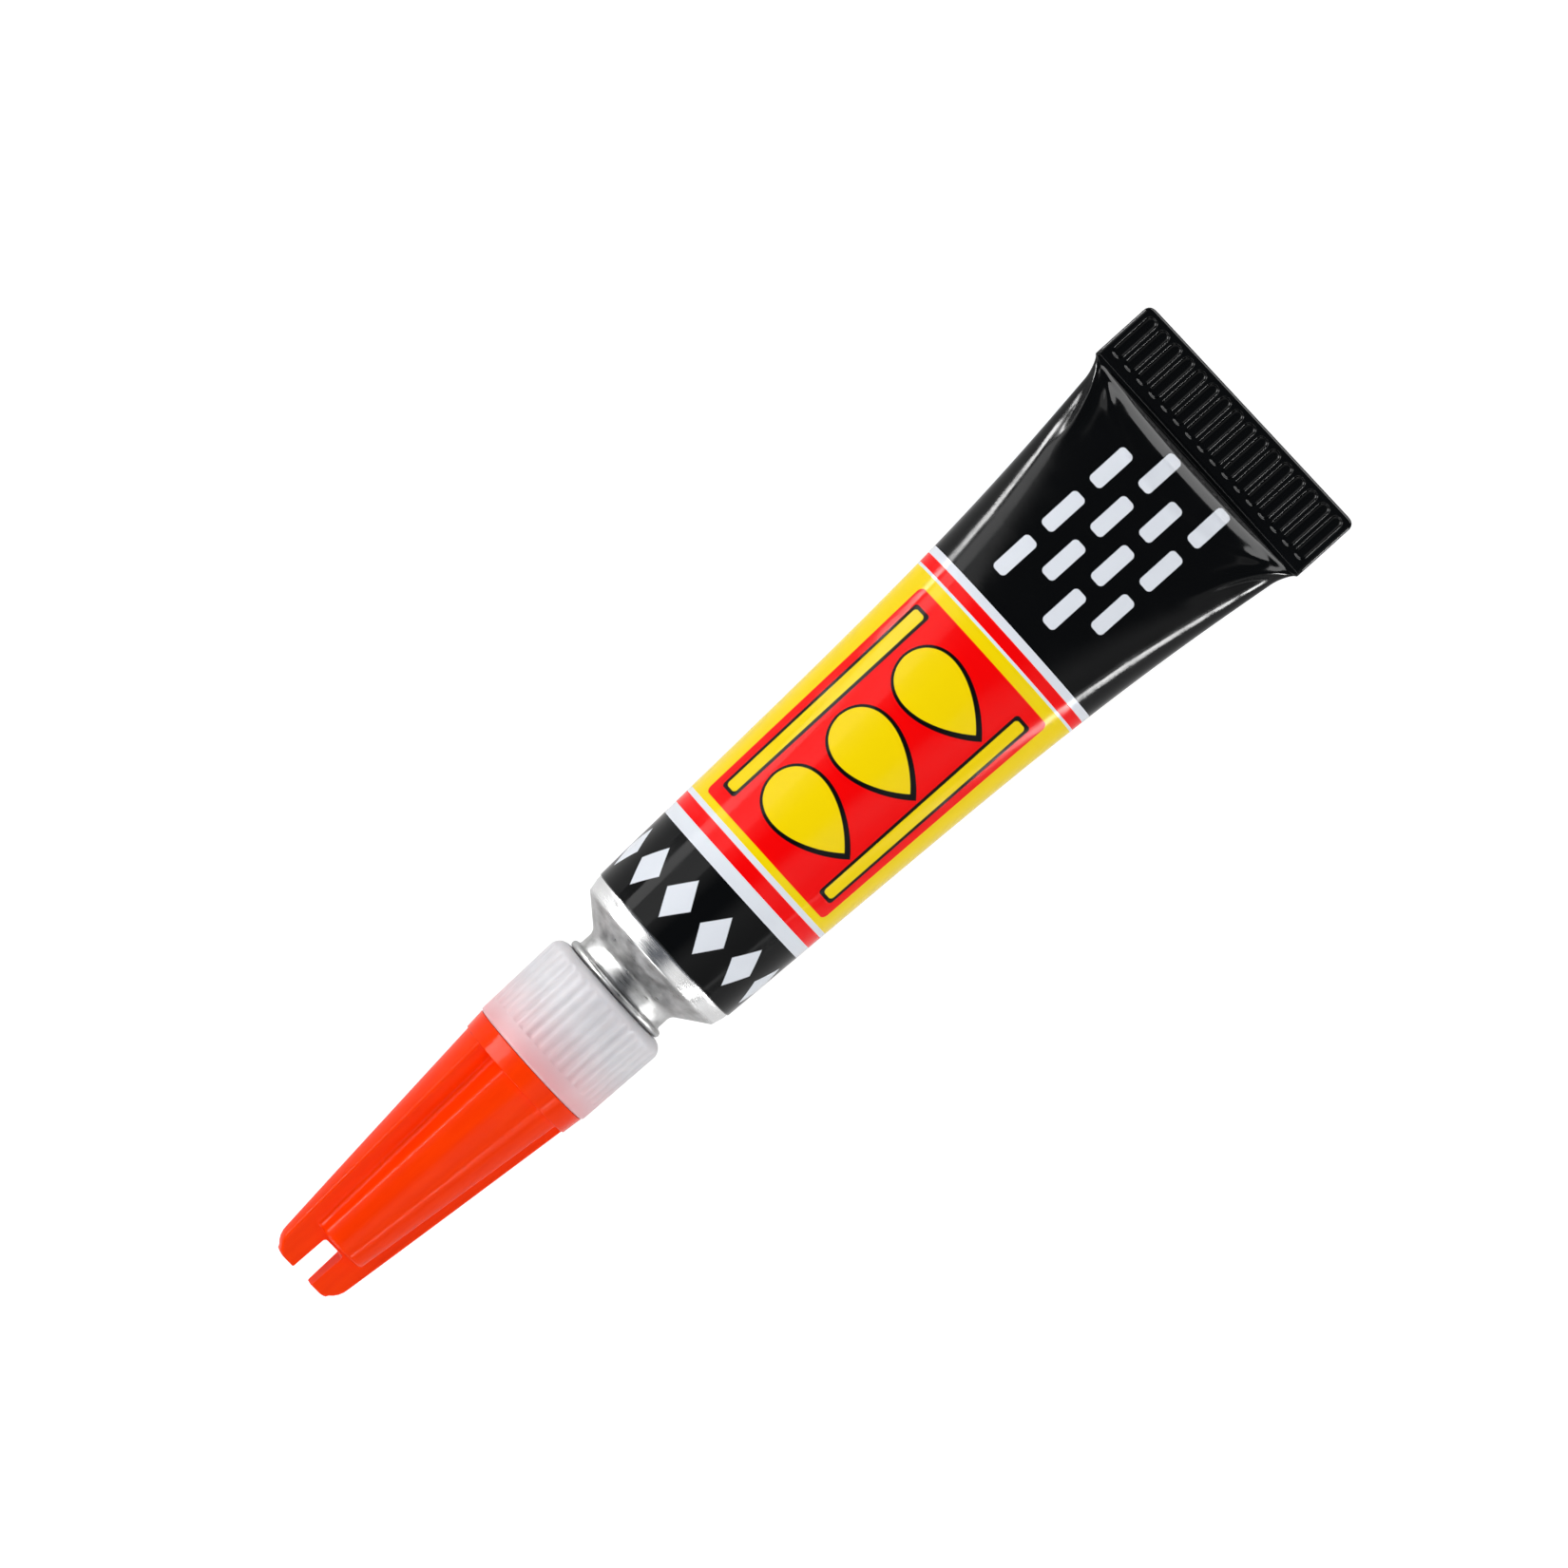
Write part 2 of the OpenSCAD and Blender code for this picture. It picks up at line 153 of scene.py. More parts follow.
class Skin:
    """A skin drawn out ring by ring from a circle with the extrude tool, as by hand."""

    def __init__(self, name: str, first: Ring) -> None:
        """Adds the circle and puts it on the first ring.

        Args:
            name: Name of the piece.
            first: Points of the first ring.
        """
        bpy.ops.object.select_all(action="DESELECT")
        bpy.ops.mesh.primitive_circle_add(vertices=len(first), radius=1.0, fill_type="NOTHING")
        self.obj = bpy.context.object
        self.obj.name = name
        self.obj.data.name = name
        bpy.ops.object.mode_set(mode="EDIT")
        self.rings: list[list[int]] = [list(range(len(first)))]
        self._put(first)

    @classmethod
    def drawn(cls, name: str, rings: Sequence[Ring]) -> "Skin":
        """Draws a skin through all its rings.

        Args:
            name: Name of the piece.
            rings: The rings in order, with as many points in each.

        Returns:
            The skin, still in edit mode and open at both ends.
        """
        skin = cls(name, rings[0])
        for ring in rings[1:]:
            skin.grow(ring)
        return skin

    def _mesh(self) -> bmesh.types.BMesh:
        """Opens the mesh under the tools.

        Returns:
            The mesh, with its points numbered in order.
        """
        mesh = bmesh.from_edit_mesh(self.obj.data)
        mesh.verts.index_update()
        mesh.verts.ensure_lookup_table()
        return mesh

    def _put(self, ring: Ring) -> None:
        """Puts the newest ring on its points.

        Args:
            ring: Its points in order.
        """
        mesh = self._mesh()
        for index, point in zip(self.rings[-1], ring):
            mesh.verts[index].co = point

    def grow(self, ring: Ring) -> None:
        """Extrudes the newest ring to the next one.

        Args:
            ring: Points of the next ring, as many as in the first.
        """
        bpy.ops.mesh.extrude_region_move()
        mesh = self._mesh()
        fresh = []
        for index in self.rings[-1]:
            old = mesh.verts[index]
            beside = (edge.other_vert(old) for edge in old.link_edges)
            fresh.append(next(vert.index for vert in beside if vert.select))
        self.rings.append(fresh)
        self._put(ring)

    def _select(self, *rings: list[int]) -> None:
        """Selects the points of some rings and nothing else.

        Args:
            rings: The rings' point numbers.
        """
        bpy.ops.mesh.select_all(action="DESELECT")
        mesh = self._mesh()
        for index in (i for ring in rings for i in ring):
            mesh.verts[index].select = True
        mesh.select_flush_mode()
        bmesh.update_edit_mesh(self.obj.data)

    def close(self, how: Close) -> None:
        """Shuts the skin.

        Args:
            how: Lids on the ends, or a bridge between them.
        """
        first, last = self.rings[0], self.rings[-1]
        if how is Close.LOOP:
            self._select(first, last)
            bpy.ops.mesh.bridge_edge_loops()
        else:
            for ring in (first, last):
                self._select(ring)
                bpy.ops.mesh.edge_face_add()

    def leave(self) -> None:
        """Turns the faces outwards and leaves edit mode."""
        bpy.ops.mesh.select_all(action="SELECT")
        bpy.ops.mesh.normals_make_consistent(inside=False)
        bpy.ops.object.mode_set(mode="OBJECT")

    def done(self, crease: float) -> bpy.types.Object:
        """Finishes the piece.

        Args:
            crease: Edges sharper than this many degrees stay crisp.

        Returns:
            The finished object, at the origin.
        """
        self.leave()
        settle(self.obj, crease)
        return self.obj


def settle(obj: bpy.types.Object, crease: float) -> None:
    """Makes a piece's millimetres metres and shades it.

    Args:
        obj: The piece, in object mode.
        crease: Edges sharper than this many degrees stay crisp.
    """
    bpy.ops.object.select_all(action="DESELECT")
    obj.select_set(True)
    bpy.context.view_layer.objects.active = obj
    bpy.ops.transform.resize(value=(MM, MM, MM), center_override=(0.0, 0.0, 0.0))
    bpy.ops.object.transform_apply(location=True, rotation=True, scale=True)
    bpy.ops.object.shade_smooth_by_angle(angle=math.radians(crease))


def fit(obj: bpy.types.Object, body: Body, slot: str, *nodes: str) -> None:
    """Hands a finished piece to the frame.

    Args:
        obj: The piece.
        body: CAD body that carries it.
        slot: Name of a material slot; not used.
        nodes: CAD nodes that it stands for.
    """
    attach(obj, body.value)
    if nodes:
        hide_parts(*nodes)
    LOG.info("%s rides on %s with %d faces", obj.name, body.value, len(obj.data.polygons))


class Graph:
    """A material's node tree, with short calls for what the finishes share."""

    def __init__(self, name: str) -> None:
        """Starts a material with one shader.

        Args:
            name: Name of the finish.
        """
        self.material = bpy.data.materials.new(name)
        self.material.use_nodes = True
        self.tree = self.material.node_tree
        self.tree.nodes.clear()
        self.shader = self.add("ShaderNodeBsdfPrincipled")
        output = self.add("ShaderNodeOutputMaterial")
        self.feed(output.inputs["Surface"], self.shader.outputs["BSDF"])

    def add(self, kind: str, **settings: object) -> bpy.types.Node:
        """Adds a node.

        Args:
            kind: Blender's name for its type.
            settings: Values of its own properties.

        Returns:
            The node.
        """
        node = self.tree.nodes.new(kind)
        for name, value in settings.items():
            setattr(node, name, value)
        return node

    def feed(self, socket: Socket, value: object) -> None:
        """Links a socket to another one, or sets it.

        Args:
            socket: The input.
            value: An output socket, a number or a colour.
        """
        if isinstance(value, Socket):
            self.tree.links.new(value, socket)
        elif isinstance(value, tuple) and len(value) == 3 and socket.type == "RGBA":
            socket.default_value = (*value, 1.0)
        else:
            socket.default_value = value

    def set(self, **values: object) -> None:
        """Feeds the shader's own sockets, whose names have underscores here for spaces."""
        for name, value in values.items():
            self.feed(self.shader.inputs[name.replace("_", " ")], value)

    def place(self) -> Socket:
        """The place on the object, in metres."""
        return self.add("ShaderNodeTexCoord").outputs["Object"]

    def stretch(self, vector: Socket, scale: Point) -> Socket:
        """Stretches a pattern's coordinates.

        Args:
            vector: Coordinates.
            scale: Factor along each axis.

        Returns:
            The stretched coordinates.
        """
        node = self.add("ShaderNodeMapping")
        self.feed(node.inputs["Vector"], vector)
        node.inputs["Scale"].default_value = scale
        return node.outputs["Vector"]

    def split(self, vector: Socket) -> list[Socket]:
        """Takes a vector apart.

        Args:
            vector: The vector.

        Returns:
            Its three parts.
        """
        node = self.add("ShaderNodeSeparateXYZ")
        self.feed(node.inputs[0], vector)
        return list(node.outputs)

    def maths(self, operation: str, first: object, second: object = 0.0) -> Socket:
        """One step of arithmetic.

        Args:
            operation: Blender's name for it.
            first: Number or socket.
            second: Number or socket.

        Returns:
            The result.
        """
        node = self.add("ShaderNodeMath", operation=operation)
        self.feed(node.inputs[0], first)
        self.feed(node.inputs[1], second)
        return node.outputs[0]

    def plus(self, first: object, second: object) -> Socket:
        """The sum of two values."""
        return self.maths("ADD", first, second)

    def minus(self, first: object, second: object) -> Socket:
        """The first value less the second."""
        return self.maths("SUBTRACT", first, second)

    def times(self, first: object, second: object) -> Socket:
        """The product of two values."""
        return self.maths("MULTIPLY", first, second)

    def away(self, value: object) -> Socket:
        """A value's distance from zero."""
        return self.maths("ABSOLUTE", value)

    def reach(self, first: object, second: object) -> Socket:
        """Length of a step along two directions."""
        squares = (self.maths("POWER", side, 2.0) for side in (first, second))
        return self.maths("SQRT", self.plus(*squares))

    def spread(
        self, value: object, low: float, high: float, start: float, end: float
    ) -> Socket:
        """Carries a range of values over to another one.

        Args:
            value: The value.
            low: Where it starts.
            high: Where it ends.
            start: Result at low.
            end: Result at high.

        Returns:
            The result, kept between start and end.
        """
        node = self.add("ShaderNodeMapRange")
        for socket, number in zip(node.inputs, (value, low, high, start, end)):
            self.feed(socket, number)
        return node.outputs[0]

    def grain(self, vector: Socket, per_mm: float, detail: float = 2.0) -> Socket:
        """Noise of a given fineness.

        Args:
            vector: Coordinates in metres.
            per_mm: Grains to the millimetre.
            detail: How many finer layers it has.

        Returns:
            The noise, from 0 to 1.
        """
        node = self.add("ShaderNodeTexNoise")
        self.feed(node.inputs["Vector"], vector)
        node.inputs["Scale"].default_value = per_mm / MM
        node.inputs["Detail"].default_value = detail
        return node.outputs[0]

    def blend(self, share: object, first: object, second: object) -> Socket:
        """Mixes two colours.

        Args:
            share: Share of the second.
            first: Colour or socket.
            second: Colour or socket.

        Returns:
            The mixed colour.
        """
        node = self.add("ShaderNodeMix", data_type="RGBA")
        self.feed(node.inputs[0], share)
        self.feed(node.inputs[6], first)
        self.feed(node.inputs[7], second)
        return node.outputs[2]

    def bump(self, height: Socket, depth: float, over: object = None) -> Socket:
        """Raises the surface by a pattern.

        Args:
            height: The pattern, from 0 to 1.
            depth: Its depth in millimetres.
            over: Normal that it is laid over, if any.

        Returns:
            The new normal.
        """
        node = self.add("ShaderNodeBump")
        node.inputs["Strength"].default_value = 1.0
        node.inputs["Distance"].default_value = depth * MM
        self.feed(node.inputs["Height"], height)
        if over is not None:
            self.feed(node.inputs["Normal"], over)
        return node.outputs["Normal"]


@dataclass(frozen=True)
class Inks:
    """Colours of the print."""

    black: Colour = (0.0024, 0.0027, 0.0030)
    white: Colour = (0.76, 0.79, 0.84)
    red: Colour = (0.94, 0.0008, 0.0012)
    yellow: Colour = (0.93, 0.68, 0.001)


@dataclass(frozen=True)
class PrintedEnamel:
    """Gloss print on the barrel: bands, a framed panel with drops, and plain white marks."""

    inks: Inks = Inks()
    start: float = 34.7
    end: float = 91.0
    panel_middle: float = 54.75
    panel_half: Pair = (10.45, 7.2)
    panel_corner: float = 0.5
    drop_pitch: float = 6.2
    drop_size: Pair = (2.4, 7.7)
    rule_half: Pair = (9.1, 0.55)
    rule_corner: float = 0.3
    rule_offset: float = 5.55
    outline: float = 0.28
    diamond_half: Pair = (1.9, 1.25)
    diamond_middle: float = 37.8
    diamond_count: int = 12
    girth: float = 42.41
    dash_start: float = 69.2
    dash_pitch: Pair = (4.6, 2.6)
    dash_half: Pair = (1.7, 0.6)
    dash_corner: float = 0.35
    dash_columns: int = 3
    dash_rows: int = 4
    softness: float = 0.03

    def bands(self) -> list[tuple[float, Colour]]:
        """Lists the bands of the print.

        Returns:
            Where each one starts, and its colour.
        """
        inks = self.inks
        return [
            (34.7, inks.black),
            (40.9, inks.white),
            (42.1, inks.red),
            (43.1, inks.white),
            (43.5, inks.yellow),
            (66.0, inks.white),
            (66.3, inks.red),
            (67.05, inks.white),
            (67.8, inks.black),
        ]

    def _mask(self, graph: Graph, distance: Socket) -> Socket:
        """Turns a distance from an edge into a mask.

        Args:
            graph: The node tree.
            distance: Millimetres from the edge, below zero inside.

        Returns:
            1 inside, 0 outside.
        """
        return graph.spread(distance, -self.softness, self.softness, 1.0, 0.0)

    def _block(
        self, graph: Graph, along: object, across: object, half: Pair, corner: float
    ) -> Socket:
        """Distance from the edge of a block with round corners.

        Args:
            graph: The node tree.
            along: Place along the tube, from the block's middle.
            across: Place round the tube, from its middle.
            half: Half its length and half its width.
            corner: Radius of its corners.

        Returns:
            Millimetres from its edge, below zero inside.
        """
        sides = []
        for place, size in ((along, half[0]), (across, half[1])):
            sides.append(graph.minus(graph.away(place), size - corner))
        outer = graph.reach(*(graph.maths("MAXIMUM", side, 0.0) for side in sides))
        inner = graph.maths("MINIMUM", graph.maths("MAXIMUM", *sides), 0.0)
        return graph.minus(graph.plus(outer, inner), corner)

    def _drop(self, graph: Graph, along: object, across: object, grow: float) -> Socket:
        """Distance from the edge of a drop, measured along the tube.

        Args:
            graph: The node tree.
            along: Place along the tube, from the drop's middle.
            across: Place round the tube, from its middle.
            grow: Millimetres added all round.

        Returns:
            Millimetres from its edge, below zero inside.
        """
        half_width, height = self.drop_size[0] + grow, self.drop_size[1] + 3.2 * grow
        share = graph.spread(across, -height / 2 + 0.9 * grow, height / 2 + 0.9 * grow, 0.0, 1.0)
        rise = graph.maths("SQRT", share)
        fall = graph.maths("POWER", graph.minus(1.0, share), 0.95)
        width = graph.times(graph.times(rise, fall), 2.55 * half_width)
        width = graph.minus(width, 2 * self.softness)
        return graph.minus(graph.away(along), width)

    def _wrapped(self, graph: Graph, place: object, start: float, pitch: float) -> Socket:
        """Repeats a place at a pitch.

        Args:
            graph: The node tree.
            place: Place along or round the tube.
            start: Where the first repeat starts.
            pitch: Length of a repeat.

        Returns:
            The place from the middle of its repeat.
        """
        turned = graph.maths("FLOORED_MODULO", graph.minus(place, start), pitch)
        return graph.minus(turned, pitch / 2)

    def _colour(self, graph: Graph, u: Socket, v: Socket) -> Socket:
        """The print's colour at each place.

        Args:
            graph: The node tree.
            u: Place along the tube.
            v: Place round it, from the middle of the printed face.

        Returns:
            The colour.
        """
        ramp = graph.add("ShaderNodeValToRGB")
        ramp.color_ramp.interpolation = "CONSTANT"
        graph.feed(ramp.inputs[0], graph.spread(u, self.start, self.end, 0.0, 1.0))
        stops = ramp.color_ramp.elements
        while len(stops) < len(self.bands()):
            stops.new(1.0)
        for stop, (place, colour) in zip(stops, self.bands()):
            stop.position = (place - self.start) / (self.end - self.start)
            stop.color = (*colour, 1.0)
        colour = ramp.outputs["Color"]

        from_middle = graph.minus(u, self.panel_middle)
        panel = self._block(graph, from_middle, v, self.panel_half, self.panel_corner)
        colour = graph.blend(self._mask(graph, panel), colour, self.inks.red)

        window = graph.maths("LESS_THAN", graph.away(from_middle), 1.5 * self.drop_pitch)
        along = self._wrapped(graph, u, self.panel_middle - 1.5 * self.drop_pitch, self.drop_pitch)
        rule = graph.minus(graph.away(v), self.rule_offset)
        for grow, ink in ((self.outline, self.inks.black), (0.0, self.inks.yellow)):
            drops = graph.times(self._mask(graph, self._drop(graph, along, v, grow)), window)
            half = (self.rule_half[0] + grow, self.rule_half[1] + grow)
            rules = self._mask(graph, self._block(graph, from_middle, rule, half, self.rule_corner))
            colour = graph.blend(graph.maths("MAXIMUM", drops, rules), colour, ink)

        round_it = self._wrapped(graph, v, -self.girth / 2, self.girth / self.diamond_count)
        beside = graph.minus(u, self.diamond_middle)
        lean = [
            graph.maths("DIVIDE", graph.away(place), size)
            for place, size in zip((beside, round_it), self.diamond_half)
        ]
        diamond = graph.minus(graph.plus(*lean), 1.0)
        white = self._mask(graph, diamond)

        row_pitch = self.dash_pitch[1]
        bottom = -self.dash_rows * row_pitch / 2
        row = graph.maths("FLOOR", graph.maths("DIVIDE", graph.minus(v, bottom), row_pitch))
        shift = graph.times(graph.maths("FLOORED_MODULO", row, 2.0), self.dash_pitch[0] / 2)
        moved = graph.minus(u, shift)
        last = self.dash_start + self.dash_columns * self.dash_pitch[0]
        inside = graph.maths("GREATER_THAN", moved, self.dash_start)
        inside = graph.times(inside, graph.maths("LESS_THAN", moved, last))
        inside = graph.times(inside, graph.maths("LESS_THAN", graph.away(v), -bottom))
        dash = self._block(
            graph,
            self._wrapped(graph, moved, self.dash_start, self.dash_pitch[0]),
            self._wrapped(graph, v, bottom, row_pitch),
            self.dash_half,
            self.dash_corner,
        )
        white = graph.maths("MAXIMUM", white, graph.times(self._mask(graph, dash), inside))
        return graph.blend(white, colour, self.inks.white)

    def make(self) -> bpy.types.Material:
        """Builds the finish.

        Returns:
            The material.
        """
        graph = Graph("printed_enamel")
        u, v, _ = graph.split(graph.add("ShaderNodeUVMap", uv_map=PRINT_MAP).outputs[0])
        place = graph.place()
        peel = graph.grain(place, 2.2)
        speck = graph.grain(place, 9.0, 1.0)
        rough = graph.spread(graph.grain(place, 0.35, 3.0), 0.35, 0.7, 0.08, 0.15)
        normal = graph.bump(speck, 0.0004, graph.bump(peel, 0.0016))
        graph.set(
            Base_Color=self._colour(graph, u, v),
            Roughness=rough,
            Normal=normal,
            IOR=1.5,
            Specular_IOR_Level=0.12,
        )
        return graph.material


@dataclass(frozen=True)
class BareAluminium:
    """Drawn aluminium, turned rings and scuffs left on it."""

    worn: Colour = (0.47, 0.47, 0.47)
    dull: Colour = (0.29, 0.29, 0.285)
    fresh: Colour = (0.78, 0.78, 0.78)
    fresh_run: Pair = (33.3, 33.7)
    fresh_share: float = 0.85
    polish: float = 0.12

    def make(self) -> bpy.types.Material:
        """Builds the finish.

        Returns:
            The material.
        """
        graph = Graph("bare_aluminium")
        place = graph.place()
        rings = graph.grain(graph.stretch(place, (1.0, 0.06, 0.06)), 14.0, 3.0)
        scuffs = graph.grain(graph.stretch(place, (1.0, 0.45, 0.45)), 1.6, 4.0)
        pits = graph.grain(place, 9.0, 3.0)
        start, end = ((x + TIP_X) * MM for x in self.fresh_run)
        fresh = graph.spread(graph.split(place)[0], start, end, 0.0, 1.0)
        tone = graph.spread(scuffs, 0.35, 0.65, 0.0, 1.0)
        body = graph.blend(tone, self.dull, self.worn)
        marks = graph.times(graph.plus(rings, scuffs), 0.5)
        rough = graph.spread(marks, 0.35, 0.65, 0.26, 0.44)
        rough = graph.minus(rough, graph.times(fresh, self.polish))
        normal = graph.bump(rings, 0.0012, graph.bump(pits, 0.0016, graph.bump(scuffs, 0.006)))
        graph.set(
            Base_Color=graph.blend(graph.times(fresh, self.fresh_share), body, self.fresh),
            Metallic=1.0,
            Roughness=rough,
            Normal=normal,
        )
        return graph.material


@dataclass(frozen=True)
class MilkyPlastic:
    """Natural polyethylene: light sinks into it, and its skin is half matt. Near the cap a pink
    painted glow stands in for the cap's orange light shining through the wall.
    """

    colour: Colour = (0.71, 0.69, 0.71)
    cloud: Colour = (0.655, 0.64, 0.66)
    painted_cap_glow: Colour = (0.78, 0.42, 0.44)
    painted_glow_run: Pair = (22.4, 27.0)
    painted_glow_wall: Pair = (4.5, 5.2)
    painted_glow_fall: float = 1.6
    depth: float = 0.7

    def make(self) -> bpy.types.Material:
        """Builds the finish.

        Returns:
            The material.
        """
        graph = Graph("milky_plastic")
        place = graph.place()
        cloud = graph.spread(graph.grain(place, 0.5, 2.0), 0.35, 0.65, 0.0, 1.0)
        skin = graph.grain(place, 6.0, 2.0)
        along, across, up = graph.split(place)
        # Painted glow: the collar's outer wall is tinted pink near the cap. This paints in the
        # orange cap's light shining through the translucent wall, and the tint stays when the cap
        # is pulled off.
        start, end = ((x + TIP_X) * MM for x in self.painted_glow_run)
        painted_glow_near_cap = graph.maths("POWER", graph.spread(along, start, end, 1.0, 0.0), self.painted_glow_fall)
        radius = graph.reach(across, graph.minus(up, AXIS_Z * MM))
        low, high = (r * MM for r in self.painted_glow_wall)
        painted_cap_glow = graph.times(painted_glow_near_cap, graph.spread(radius, low, high, 0.0, 1.0))
        body = graph.blend(cloud, self.cloud, self.colour)
        graph.set(
            Base_Color=graph.blend(painted_cap_glow, body, self.painted_cap_glow),
            Roughness=graph.spread(skin, 0.3, 0.7, 0.36, 0.48),
            Normal=graph.bump(skin, 0.0012),
            Subsurface_Weight=1.0,
            Subsurface_Scale=self.depth * MM,
            Subsurface_Radius=(1.0, 0.9, 0.85),
            IOR=1.5,
            Specular_IOR_Level=0.3,
        )
        return graph.material


@dataclass(frozen=True)
class OrangePlastic:
    """Glossy moulded plastic of the cap."""

    colour: Colour = (0.95, 0.042, 0.0004)
    shade: Colour = (0.91, 0.036, 0.0004)

    def make(self) -> bpy.types.Material:
        """Builds the finish.

        Returns:
            The material.
        """
        graph = Graph("orange_plastic")
        place = graph.place()
        flow = graph.grain(graph.stretch(place, (0.12, 1.0, 1.0)), 1.4, 2.0)
        skin = graph.grain(place, 5.0, 2.0)
        streaks = graph.spread(flow, 0.35, 0.65, 0.0, 1.0)
        graph.set(
            Base_Color=graph.blend(streaks, self.shade, self.colour),
            Roughness=graph.spread(skin, 0.3, 0.7, 0.10, 0.16),
            Normal=graph.bump(skin, 0.0004, graph.bump(flow, 0.003)),
            IOR=1.5,
            Specular_IOR_Level=0.07,
        )
        return graph.material


@dataclass(frozen=True)
class PlainSolid:
    """Finish of a small hidden solid, with its own grain.

    The sealant, the liquid and the steel pin share it, each with its own values.
    """

    name: str
    colour: Colour
    other: Colour
    rough: Pair
    metal: float = 0.0
    clear: float = 0.0
    ior: float = 1.45

    def make(self) -> bpy.types.Material:
        """Builds the finish.

        Returns:
            The material.
        """
        graph = Graph(self.name)
        grain = graph.grain(graph.stretch(graph.place(), (0.2, 1.0, 1.0)), 4.0, 2.0)
        graph.set(
            Base_Color=graph.blend(grain, self.colour, self.other),
            Roughness=graph.spread(grain, 0.3, 0.7, *self.rough),
            Normal=graph.bump(grain, 0.001),
            Metallic=self.metal,
            Transmission_Weight=self.clear,
            IOR=self.ior,
        )
        return graph.material


@dataclass(frozen=True)
class DogEar:
    """Ridge that runs in from a folded corner of the tail and fades along the barrel."""

    side: float
    inner: float
    spread: float
    run: float


